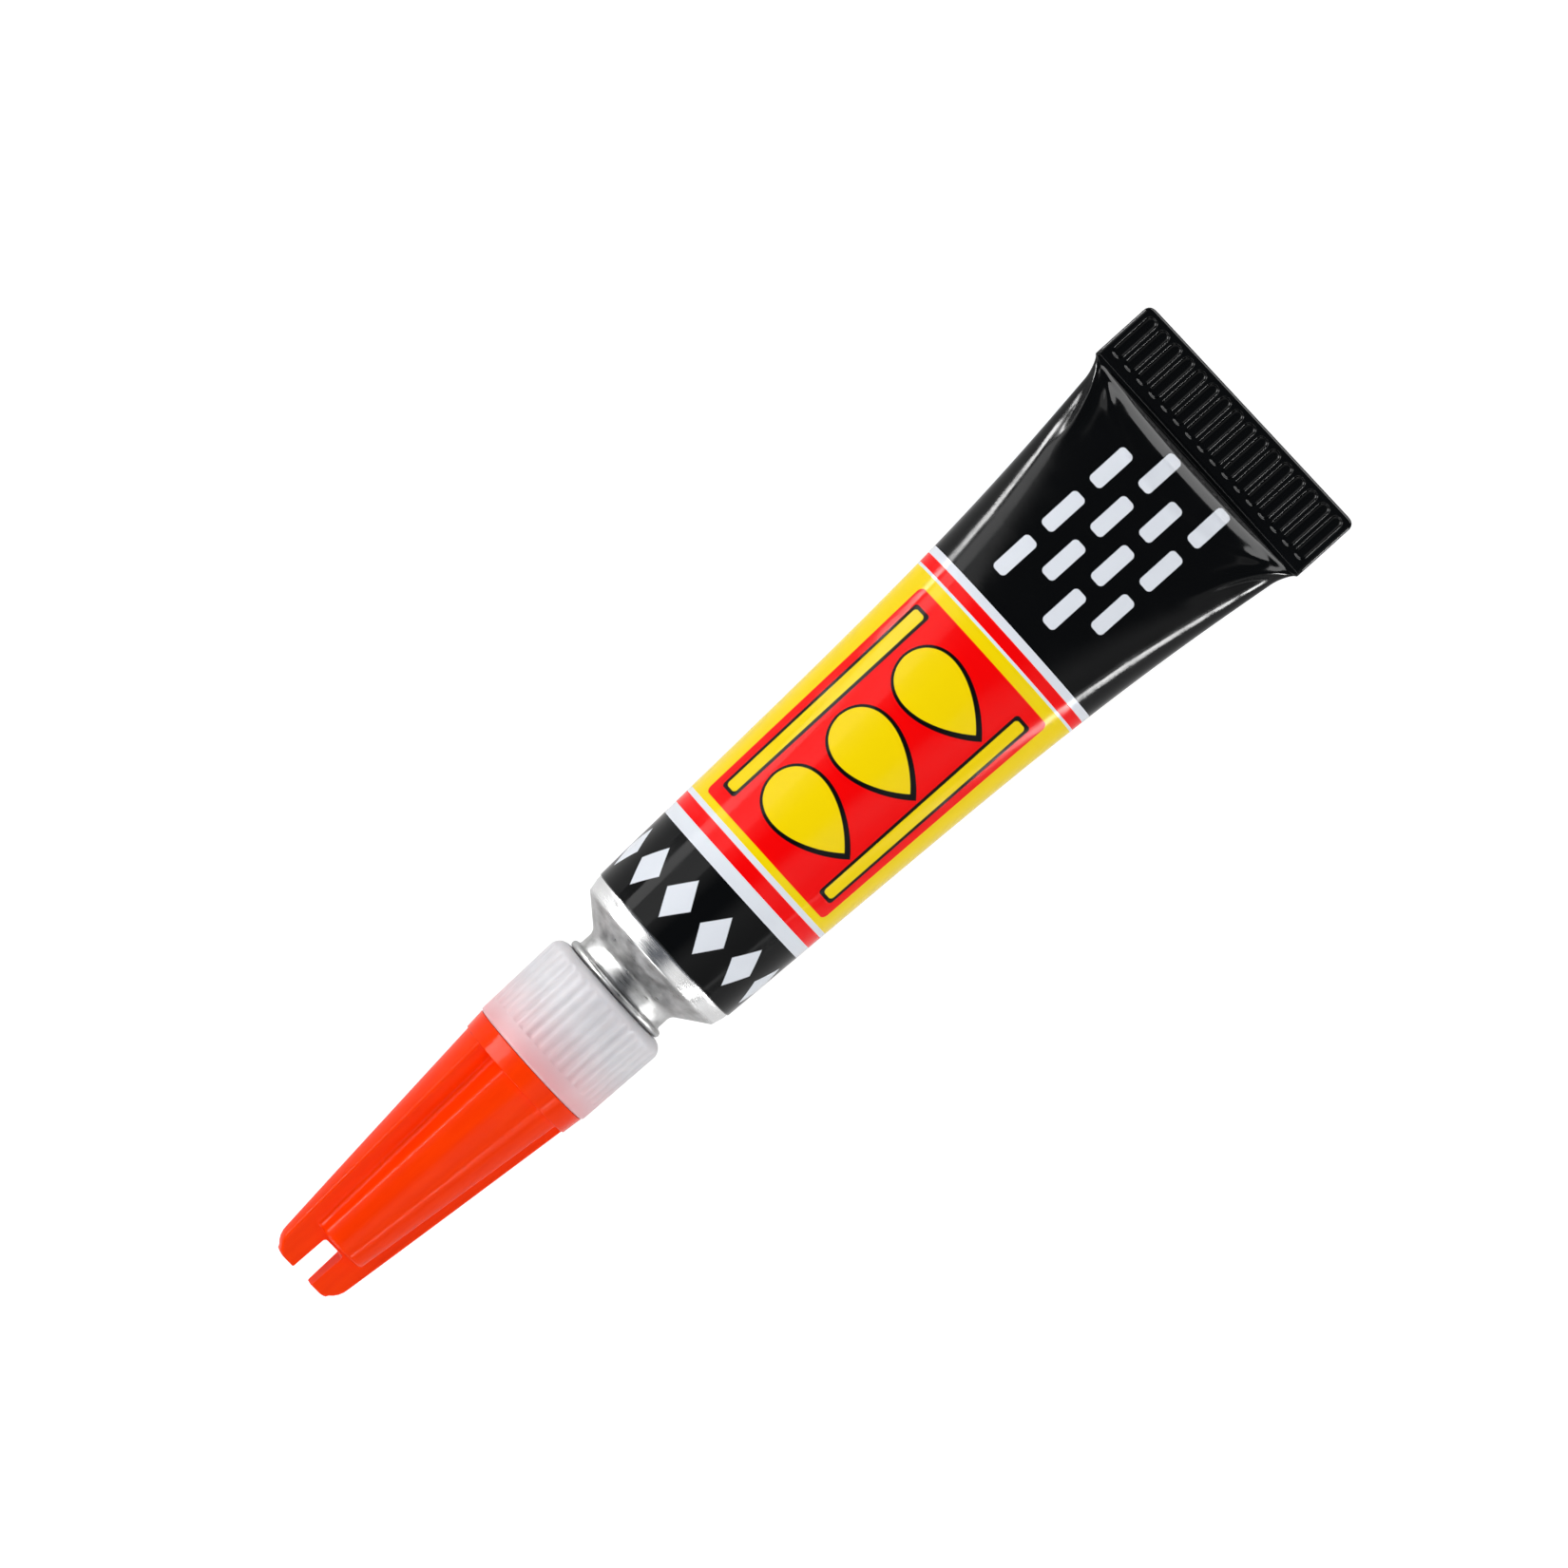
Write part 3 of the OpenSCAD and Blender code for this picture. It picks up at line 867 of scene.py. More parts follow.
@dataclass
class Barrel:
    """Printed barrel: a shell of constant girth from the round shoulder to the flat crimp."""

    start: float = 34.7
    length: float = 50.7
    radius: float = 6.75
    wall: float = 0.15
    pillow: float = 1.7
    end_half: float = 0.45
    thin_share: float = 0.27
    curl_share: float = 0.42
    curl_power: float = 4.6
    edge_round: float = 0.09
    rest_angle: float = 20.0
    rest_share: float = 0.05
    sides: int = 300
    samples: int = 2400
    edge_stations: tuple[float, ...] = (0.0, 0.04, 0.1, 0.3)
    ring_counts: tuple[int, int, int] = (24, 72, 16)
    tail_reach: float = 13.0
    wrinkle_reach: float = 12.0
    waviness: Pair = (0.012, 0.03)
    crease_reach: float = 3.7
    crease_half: float = 9.7
    crease_height: float = 0.05
    crease_width: float = 0.38
    crease_wander: float = 0.35
    hollow_depth: float = 0.07
    dog_ear_height: float = 0.17
    dog_ear_width: float = 0.3
    dog_ear_valley: Point = (0.55, 0.75, 0.5)
    dog_ear_fade: tuple[Pair, Pair] = ((7.5, 3.0), (0.1, 0.8))
    dog_ears: tuple[DogEar, ...] = (DogEar(-1.0, 6.0, 4.2, 4.0), DogEar(1.0, 7.4, 2.9, 3.0))
    dent_depth: float = 0.05
    dent_at: Pair = (0.62, 7.9)
    dent_size: Pair = (0.2, 0.9)
    edge_fade: float = 1.1

    def half_thick(self, s: float) -> float:
        """Half the barrel's thickness.

        Args:
            s: Distance from the shoulder.

        Returns:
            The half thickness.
        """
        u = s / self.length
        v = max(0.0, s - self.length + self.pillow) / self.pillow
        opened = self.radius * (1.0 - self.thin_share * u - self.curl_share * u**self.curl_power)
        return self.end_half + (opened - self.end_half) * math.sqrt(max(0.0, 1.0 - v * v))

    def half_width(self, b: float) -> float:
        """Half the barrel's width, at which its girth is that of the round tube.

        Args:
            b: Half its thickness there.

        Returns:
            The half width.
        """
        low, high = self.radius, self.radius * math.pi / 2
        for _ in range(40):
            a = (low + high) / 2
            h = ((a - b) / (a + b)) ** 2
            girth = math.pi * (a + b) * (1 + 3 * h / (10 + math.sqrt(4 - 3 * h)))
            low, high = (low, a) if girth > 2 * math.pi * self.radius else (a, high)
        return (low + high) / 2

    def stations(self) -> list[float]:
        """Spaces the rings, close together at the pillow end.

        Returns:
            Their distances from the shoulder.
        """
        body, tail_end = self.length - self.tail_reach, self.length - self.pillow
        plain, tail, turn = self.ring_counts
        places = list(self.edge_stations)
        places += [1.0 + (body - 1.0) * i / plain for i in range(plain + 1)]
        places += [body + (tail_end - body) * i / tail for i in range(1, tail + 1)]
        quarter = math.pi / 2 / turn
        return places + [tail_end + self.pillow * math.sin(quarter * i) for i in range(1, turn + 1)]

    def _round(self, a: float, b: float) -> list[float]:
        """Angles that space points evenly round an ellipse, from the middle of its back.

        Args:
            a: Half width.
            b: Half thickness.

        Returns:
            The angles in radians.
        """
        steps = [-math.pi / 2 + 2 * math.pi * i / self.samples for i in range(self.samples + 1)]
        run = [0.0]
        for first, second in zip(steps, steps[1:]):
            across = a * (math.cos(second) - math.cos(first))
            up = b * (math.sin(second) - math.sin(first))
            run.append(run[-1] + math.hypot(across, up))
        angles, k = [], 0
        for i in range(self.sides):
            goal = run[-1] * i / self.sides
            while run[k + 1] < goal:
                k += 1
            share = (goal - run[k]) / (run[k + 1] - run[k])
            angles.append(steps[k] + (steps[k + 1] - steps[k]) * share)
        return angles

    def _wrinkle(self, s: float, y: float, face: float) -> float:
        """How far the tail's creases lift the skin.

        Args:
            s: Distance from the shoulder.
            y: Place across the tube.
            face: 1 on the printed face, -1 on the back.

        Returns:
            The lift, outwards.
        """
        away = self.length - s
        lift = self.waviness[0] * noise.noise(Vector((0.16 * s, 0.2 * y, 3.0 * face)))
        if away > self.wrinkle_reach:
            return lift
        near = smooth_step(self.wrinkle_reach, 5.0, away) * smooth_step(0.0, 0.5, away)
        lift += self.waviness[1] * near * noise.noise(Vector((0.45 * s, 0.35 * y, 7.0 * face)))
        arc = self.crease_reach * (1.0 - (y / self.crease_half) ** 2)
        arc += self.crease_wander * noise.noise(Vector((0.5 * y, face, 1.0)))
        if arc > 0.0:
            ridge = bell((away - arc) / self.crease_width)
            lift += self.crease_height * ridge * smooth_step(0.2, 1.2, arc)
            hollow = smooth_step(arc, 0.6 * arc, away) * smooth_step(0.3, 1.2, away)
            lift -= self.hollow_depth * hollow
        share, inwards, width = self.dog_ear_valley
        for ear in self.dog_ears:
            offset = y * ear.side - ear.inner - ear.spread * math.exp(-away / ear.run)
            ridge = bell(offset / self.dog_ear_width) - share * bell((offset + inwards) / width)
            fade = math.prod(smooth_step(*ends, away) for ends in self.dog_ear_fade)
            lift += self.dog_ear_height * ridge * fade
            dent = bell((away - self.dent_at[0]) / self.dent_size[0])
            dent *= bell((y * ear.side - self.dent_at[1]) / self.dent_size[1])
            lift -= self.dent_depth * dent
        return lift

    def ring(self, s: float, inset: float) -> Ring:
        """One ring of the skin.

        Args:
            s: Distance from the shoulder.
            inset: Distance in from the outer face.

        Returns:
            Its points, from the middle of the back by +Y over the printed face to -Y.
        """
        b = self.half_thick(s)
        a = self.half_width(b)
        edge = round_over(self.edge_round, max(0.0, self.edge_round - s))
        lean = (self.thin_share + self.rest_share) * s / self.length
        floor = -self.radius * (math.cos(math.radians(self.rest_angle)) - lean)
        points = []
        for angle in self._round(a, b):
            y, z = a * math.cos(angle), b * math.sin(angle)
            normal = Vector((0.0, b * math.cos(angle), a * math.sin(angle))).normalized()
            push = -inset
            if inset == 0.0:
                fade = smooth_step(0.0, self.edge_fade, abs(z))
                push = self._wrinkle(s, y, math.copysign(1.0, z)) * fade - edge
            z = max(z + normal.z * push, floor + inset)
            points.append((TIP_X + self.start + s, y + normal.y * push, AXIS_Z + z))
        return points

    def chart(self, obj: bpy.types.Object, rings: list[list[int]], stations: list[float]) -> None:
        """Writes the print's map: millimetres along the tube and round its girth.

        Args:
            obj: The barrel.
            rings: Point numbers of its rings.
            stations: Distance of each ring from the shoulder.
        """
        girth = 2 * math.pi * self.radius
        spot = {index: (k, i) for k, ring in enumerate(rings) for i, index in enumerate(ring)}
        layer = obj.data.uv_layers.new(name=PRINT_MAP)
        for face in obj.data.polygons:
            turns = [spot[obj.data.loops[corner].vertex_index][1] for corner in face.loop_indices]
            over = max(turns) - min(turns) > self.sides / 2
            for corner in face.loop_indices:
                k, i = spot[obj.data.loops[corner].vertex_index]
                turn = i + self.sides if over and i < self.sides / 2 else i
                across = girth * (turn / self.sides - 0.5)
                layer.data[corner].uv = (self.start + stations[k], across)

    def build(self, ink: bpy.types.Material, metal: bpy.types.Material) -> bpy.types.Object:
        """Models the barrel and dresses it.

        Args:
            ink: Finish of the printed face.
            metal: Finish of the inside.

        Returns:
            The barrel.
        """
        outer = self.stations()
        inner = outer[::-6] + [0.0]
        rings = [self.ring(s, 0.0) for s in outer] + [self.ring(s, self.wall) for s in inner]
        skin = Skin.drawn("tube_barrel", rings)
        skin.close(Close.LOOP)
        obj = skin.done(50.0)
        self.chart(obj, skin.rings, outer + inner)
        obj.data.materials.append(ink)
        obj.data.materials.append(metal)
        inside = {index for ring in skin.rings[len(outer):] for index in ring}
        for face in obj.data.polygons:
            face.material_index = int(sum(v in inside for v in face.vertices) > 2)
        fit(obj, Body.TUBE, "printed_aluminium", "tube")
        return obj


@dataclass
class Crimp:
    """Folded tail: a thin plate with grooves pressed into both faces."""

    start: float = 85.4
    length: float = 5.45
    tuck: float = 0.5
    tuck_taper: float = 1.3
    width: float = 21.306
    thick: float = 1.0
    corner: float = 0.6
    start_round: float = 0.14
    end_round: float = 0.3
    grooves: int = 16
    groove_length: float = 4.1
    setback: float = 0.45
    side_rim: float = 0.55
    ridge: float = 0.28
    depth: float = 0.2
    edge: float = 0.28
    groove_wall_share: float = 0.68
    fold_line: float = 0.42
    fold_step: float = 0.06
    bead: float = 0.05
    bead_at: float = 0.18
    bead_width: float = 0.065
    skew: float = 0.016
    least_half: float = 0.02
    bare_v: float = 30.0

    def pitch(self) -> float:
        """Distance from one groove to the next."""
        return (self.width - 2 * self.side_rim + self.ridge) / self.grooves

    def lines(self) -> list[float]:
        """Spaces the points across one face, closest at the grooves' walls.

        Returns:
            Their places across the crimp.
        """
        half = self.width / 2
        pitch = self.pitch()
        groove = pitch - self.ridge
        first = -pitch * (self.grooves - 1) / 2
        steps = (0.35, 0.66, 0.76, 0.86, 0.94, 1.0)
        shares = [-step for step in reversed(steps)] + [0.0, *steps]
        middle = [
            first + pitch * i + share * groove / 2
            for i in range(self.grooves)
            for share in shares
        ]
        rim = [-half + self.edge * (1.0 - math.cos(math.pi / 2 * i / 5)) for i in range(6)]
        return rim + middle + [-y for y in reversed(rim)]

    def stations(self) -> list[float]:
        """Spaces the rings, closest at the fold and the grooves' ends.

        Returns:
            Their places from the crimp's start.
        """
        near = self.length - self.setback - self.groove_length
        far = self.length - self.setback
        cut = (self.pitch() - self.ridge) / 2
        turn = [cut * (1.0 - math.cos(math.pi / 2 * i / 9)) for i in range(10)]
        fold = [-self.tuck] + [0.04 * i for i in range(9)]
        fold += [self.fold_line + step for step in (-0.04, 0.0, 0.06)]
        middle = [near + cut + (far - near - 2 * cut) * i / 6 for i in range(1, 6)]
        back = [self.end_round * (1.0 - math.sin(math.pi / 2 * i / 7)) for i in range(8)]
        tail = [self.length - step for step in back]
        opening = [near - 0.1] + [near + t for t in turn]
        ending = [far - t for t in reversed(turn)]
        return fold + opening + middle + ending + tail

    def groove(self, x: float, y: float) -> float:
        """Depth pressed into a face.

        Args:
            x: Place from the crimp's start.
            y: Place across it.

        Returns:
            The depth.
        """
        pitch = self.pitch()
        half = (pitch - self.ridge) / 2
        first = -pitch * (self.grooves - 1) / 2
        nearest = first + pitch * min(self.grooves - 1, max(0, round((y - first) / pitch)))
        far = self.length - self.setback - half
        near = far - self.groove_length + 2 * half
        away = math.hypot(x - min(far, max(near, x)), y - nearest) / half
        return self.depth * smooth_step(1.0, self.groove_wall_share, away)

    def ring(self, x: float) -> Ring:
        """One ring round the plate.

        Args:
            x: Place from the crimp's start.

        Returns:
            Its points: the printed face, then the back.
        """
        half = self.width / 2
        into = max(0.0, x - self.length + self.corner)
        before = min(self.start_round, max(0.0, self.start_round - x))
        reach = half - round_over(self.corner, into) - round_over(self.start_round, before)
        reach -= self.tuck_taper * max(0.0, -x) / self.tuck
        slim = round_over(self.end_round, max(0.0, x - self.length + self.end_round))
        unfolded = 1.0 - smooth_step(self.fold_line - 0.05, self.fold_line + 0.02, x)
        lift = self.bead * bell((x - self.bead_at) / self.bead_width)
        lift -= self.fold_step * unfolded + slim
        points = []
        for face in (1.0, -1.0):
            for y in self.lines()[:: int(face)]:
                rim = max(0.0, abs(y) - half + self.edge)
                height = self.thick / 2 - round_over(self.edge, rim) + lift - self.groove(x, y)
                height = max(height, self.least_half)
                across = y * reach / half
                along = x - self.skew * across * smooth_step(0.0, self.length, x)
                points.append((TIP_X + self.start + along, across, AXIS_Z + face * height))
        return points

    def build(self, ink: bpy.types.Material) -> bpy.types.Object:
        """Models the crimp and dresses it.

        Args:
            ink: Finish of the print.

        Returns:
            The crimp.
        """
        skin = Skin.drawn("tube_crimp", [self.ring(x) for x in self.stations()])
        skin.close(Close.LIDS)
        obj = skin.done(50.0)
        layer = obj.data.uv_layers.new(name=PRINT_MAP)
        for corner in obj.data.loops:
            spot = obj.data.vertices[corner.vertex_index].co / MM
            layer.data[corner.index].uv = (spot.x - TIP_X, self.bare_v)
        obj.data.materials.append(ink)
        fit(obj, Body.TUBE, "printed_aluminium", "tube")
        return obj


@dataclass(frozen=True)
class Thread:
    """A right-hand screw thread that fades out at both ends."""

    first: float
    last: float
    pitch: float
    depth: float
    fade: float

    def stations(self, count: int) -> list[float]:
        """Places of the rings that carry the thread."""
        return [self.first + (self.last - self.first) * i / count for i in range(count + 1)]

    def holds(self, x: float) -> bool:
        """Whether a place lies on the thread."""
        return self.first <= x <= self.last

    def form(self, turns: float) -> float:
        """Share of the depth that is cut away, 0 on the crest and 1 at the root."""
        share = turns - math.floor(turns)
        return smooth_step(0.12, 0.42, share) * smooth_step(0.98, 0.68, share)

    def cut(self, x: float, r: float, angles: Sequence[float]) -> list[float]:
        """Cuts the thread into a ring.

        Args:
            x: Place along the tube.
            r: Radius of the plain ring.
            angles: Angles of its points in radians.

        Returns:
            The radius at each angle.
        """
        start = smooth_step(self.first, self.first + self.fade, x)
        depth = self.depth * start * smooth_step(self.last, self.last - self.fade, x)
        turns = [x / self.pitch - a / (2 * math.pi) for a in angles]
        return [r - depth * self.form(turn) for turn in turns]


@dataclass
class Head:
    """Bare head: threaded neck, flange, waist, shoulder cone and band."""

    mouth: float = 24.65
    neck_r: float = 3.5
    bore_r: float = 2.1
    flange: tuple[float, float, float] = (29.80, 30.35, 4.52)
    waist_r: float = 4.065
    waist_end: float = 31.65
    edge_at: Pair = (33.50, 6.50)
    band_at: Pair = (34.70, 6.67)
    sleeve: Point = (35.30, 6.25, 6.1)
    inner_edge: Pair = (33.80, 5.9)
    bore_end: float = 30.91
    mouth_chamfer: float = 0.2
    waist_round: float = 0.22
    cone_round: float = 0.7
    edge_round: float = 0.18
    membrane: tuple[float, float, float] = (25.05, 25.25, 1.25)
    thread: Thread = Thread(25.0, 29.5, 1.0, 0.35, 0.5)
    sides: int = 120

    def profile(self) -> Profile:
        """Draws the head's outline from the mouth's rim round to the bore.

        Returns:
            Its points, in place along the tube and radius.
        """
        x0, x1, flange_r = self.flange
        round_r = (x1 - x0) / 2
        neck = self.thread.stations(54)
        slope = (self.edge_at[1] - self.waist_r) / (self.edge_at[0] - self.waist_end)
        lean = math.degrees(math.atan(slope))
        half_turn = math.tan(math.radians(lean / 2))
        cone_r, edge_r, waist_c = self.cone_round, self.edge_round, self.waist_round
        cone_x = self.waist_end - cone_r * half_turn
        edge_x = self.edge_at[0] - edge_r * half_turn
        edge_top = self.edge_at[1] - edge_r * slope * half_turn
        chamfer = self.mouth_chamfer
        line = [(self.mouth, self.bore_r), (self.mouth, self.neck_r - chamfer)]
        line += [(self.mouth + chamfer, self.neck_r)]
        line += [(x, self.neck_r) for x in neck] + [(x0, self.neck_r)]
        line += corner_arc(((x0 + x1) / 2, flange_r - round_r), round_r, 180.0, 0.0, 12)
        waist_x = x1 + waist_c
        line += corner_arc((waist_x, self.waist_r + waist_c), waist_c, 180.0, 270.0, 5)
        line += [(waist_x + (cone_x - waist_x) * i / 3, self.waist_r) for i in range(1, 3)]
        line += corner_arc((cone_x, self.waist_r + cone_r), cone_r, 270.0, 270.0 + lean, 8)
        start_x, start_r = line[-1]
        line += [
            (start_x + (edge_x - start_x) * i / 5, start_r + (edge_top - start_r) * i / 5)
            for i in range(1, 5)
        ]
        band_x, band_r = self.band_at
        rise = math.degrees(math.atan((band_r - self.edge_at[1]) / (band_x - self.edge_at[0])))
        normal = math.radians(90.0 + lean)
        centre = (edge_x - edge_r * math.cos(normal), edge_top - edge_r * math.sin(normal))
        line += corner_arc(centre, edge_r, 90.0 + lean, 90.0 + rise, 6)
        line += [(band_x - 0.35, band_r - 0.02), (band_x - 0.06, band_r)]
        line += [(band_x - 0.01, band_r - 0.03)]
        sleeve_x, sleeve_r, sleeve_bore = self.sleeve
        line += [(band_x, sleeve_r), (sleeve_x, sleeve_r), (sleeve_x, sleeve_bore)]
        line += [self.inner_edge, (self.bore_end, self.bore_r)]
        front, back, hole = self.membrane
        line += [(back, self.bore_r), (back, hole), (front, hole), (front, self.bore_r)]
        return line

    def build(self, metal: bpy.types.Material) -> bpy.types.Object:
        """Models the head and dresses it.

        Args:
            metal: Finish of bare metal.

        Returns:
            The head.
        """
        angles = [2 * math.pi * i / self.sides for i in range(self.sides)]

        def radii(x: float, r: float) -> list[float]:
            """Cuts the thread into the neck.

            Args:
                x: Place along the tube.
                r: Radius of the outline there.

            Returns:
                The radius at each angle.
            """
            if r != self.neck_r or not self.thread.holds(x):
                return [r] * self.sides
            return self.thread.cut(x, r, angles)

        rings = [turned_ring(x, radii(x, r), angles) for x, r in self.profile()]
        skin = Skin.drawn("tube_head", rings)
        skin.close(Close.LOOP)
        obj = skin.done(35.0)
        obj.data.materials.append(metal)
        fit(obj, Body.TUBE, "printed_aluminium", "tube")
        return obj


@dataclass
class Nozzle:
    """Nozzle: fluted collar, threaded boss, long spout and hollow spike in one moulding."""

    tip: float = 5.8
    front: float = 22.07
    rear: float = 29.75
    front_r: float = 5.315
    rear_r: float = 5.49
    round_r: float = 1.0
    chamfer: float = 0.2
    plain_band: float = 1.35
    flutes: int = 40
    flute_depth: float = 0.11
    spout: Pair = (1.0, 2.35)
    boss: tuple[float, float, float] = (21.10, 23.55, 3.0)
    boss_thread: Thread = Thread(21.25, 23.4, 0.9, 0.28, 0.4)
    recess_r: float = 4.4
    socket: Pair = (24.55, 3.65)
    spike: tuple[float, float, float] = (26.55, 1.1, 0.85)
    feed_r: float = 0.7
    orifice: Pair = (11.8, 0.5)
    tip_round: float = 0.18
    root_round: float = 0.3
    flute_ease: float = 0.16
    flute_half_share: float = 0.36
    seed: int = 7

    def collar_r(self, x: float) -> float:
        """Radius of the collar's cone at a place."""
        share = (x - self.front) / (self.rear - self.front)
        return self.front_r + (self.rear_r - self.front_r) * share

    def profile(self) -> Profile:
        """Draws the outline from the orifice over the spout, boss and collar, back by the socket.

        Returns:
            Its points, in place along the tube and radius.
        """
        tip_r, base_r = self.spout
        boss_x, boss_end, boss_r = self.boss
        line = [(self.tip, self.orifice[1] + 0.04)]
        tip_c, root_c = self.tip_round, self.root_round
        line += corner_arc((self.tip + tip_c, tip_r - tip_c), tip_c, 180.0, 95.0, 5)
        run = boss_x - self.tip
        steps = [0.4 + (run - root_c - 0.4) * i / 12 for i in range(13)]
        line += [(self.tip + step, tip_r + (base_r - tip_r) * step / run) for step in steps]
        line += corner_arc((boss_x - root_c, base_r + root_c), root_c, 270.0, 360.0, 4)[1:]
        line += [(boss_x, boss_r - 0.25), (boss_x + 0.15, boss_r)]
        line += [(x, boss_r) for x in self.boss_thread.stations(26)]
        line += [(boss_end, boss_r), (boss_end, self.recess_r)]
        line += [(self.front + 0.1, self.recess_r), (self.front, self.recess_r + 0.1)]
        centre = (self.front + self.chamfer, self.front_r - self.chamfer)
        line += corner_arc(centre, self.chamfer, 180.0, 90.0, 6)
        start = self.front + self.plain_band
        rear = self.rear - self.round_r
        places = [start + step for step in (-0.5, -0.02, 0.0, 0.08, 0.16, 0.3)]
        places += [start + (rear - start) * i / 8 for i in range(1, 8)]
        line += [(x, self.collar_r(x)) for x in places]
        line += corner_arc((rear, self.rear_r - self.round_r - 0.01), self.round_r, 90.0, 0.0, 12)
        socket_x, socket_r = self.socket
        line += [(self.rear, socket_r + 0.2), (self.rear - 0.2, socket_r), (socket_x, socket_r)]
        spike_x, spike_r, point_r = self.spike
        line += [(socket_x, spike_r), (spike_x, point_r), (spike_x, self.feed_r)]
        line += [(self.orifice[0] + 0.4, self.feed_r), self.orifice]
        return line + [(self.tip + 0.05, self.orifice[1])]

    def build(self, plastic: bpy.types.Material) -> bpy.types.Object:
        """Models the nozzle and dresses it.

        Args:
            plastic: Finish of the moulding.

        Returns:
            The nozzle.
        """
        draw = random.Random(self.seed)
        wide = self.flute_half_share
        places = (-wide, -0.2, 0.0, 0.2, wide, 0.5)
        angles, cuts = [], []
        for i in range(self.flutes):
            shift, deep = draw.uniform(-0.06, 0.06), draw.uniform(0.6, 1.15)
            for place in places:
                turn = i + place + (shift if place <= wide else 0.0)
                angles.append(2 * math.pi * turn / self.flutes)
                cuts.append(self.flute_depth * deep * max(0.0, 1.0 - (place / wide) ** 2))
        start = self.front + self.plain_band

        def radii(x: float, r: float) -> list[float]:
            """Cuts the flutes into the collar and the thread into the boss.

            Args:
                x: Place along the tube.
                r: Radius of the outline there.

            Returns:
                The radius at each angle.
            """
            if x >= start - 0.01 and r > self.socket[1] + 0.5:
                ease = smooth_step(start - 0.01, start + self.flute_ease, x)
                return [min(r, self.collar_r(x) - cut * ease) for cut in cuts]
            if r == self.boss[2] and self.boss_thread.holds(x):
                return self.boss_thread.cut(x, r, angles)
            return [r] * len(angles)

        rings = [turned_ring(x, radii(x, r), angles) for x, r in self.profile()]
        skin = Skin.drawn("nozzle_moulding", rings)
        skin.close(Close.LOOP)
        obj = skin.done(35.0)
        obj.data.materials.append(plastic)
        fit(obj, Body.NOZZLE, "natural_plastic", "nozzle")
        return obj


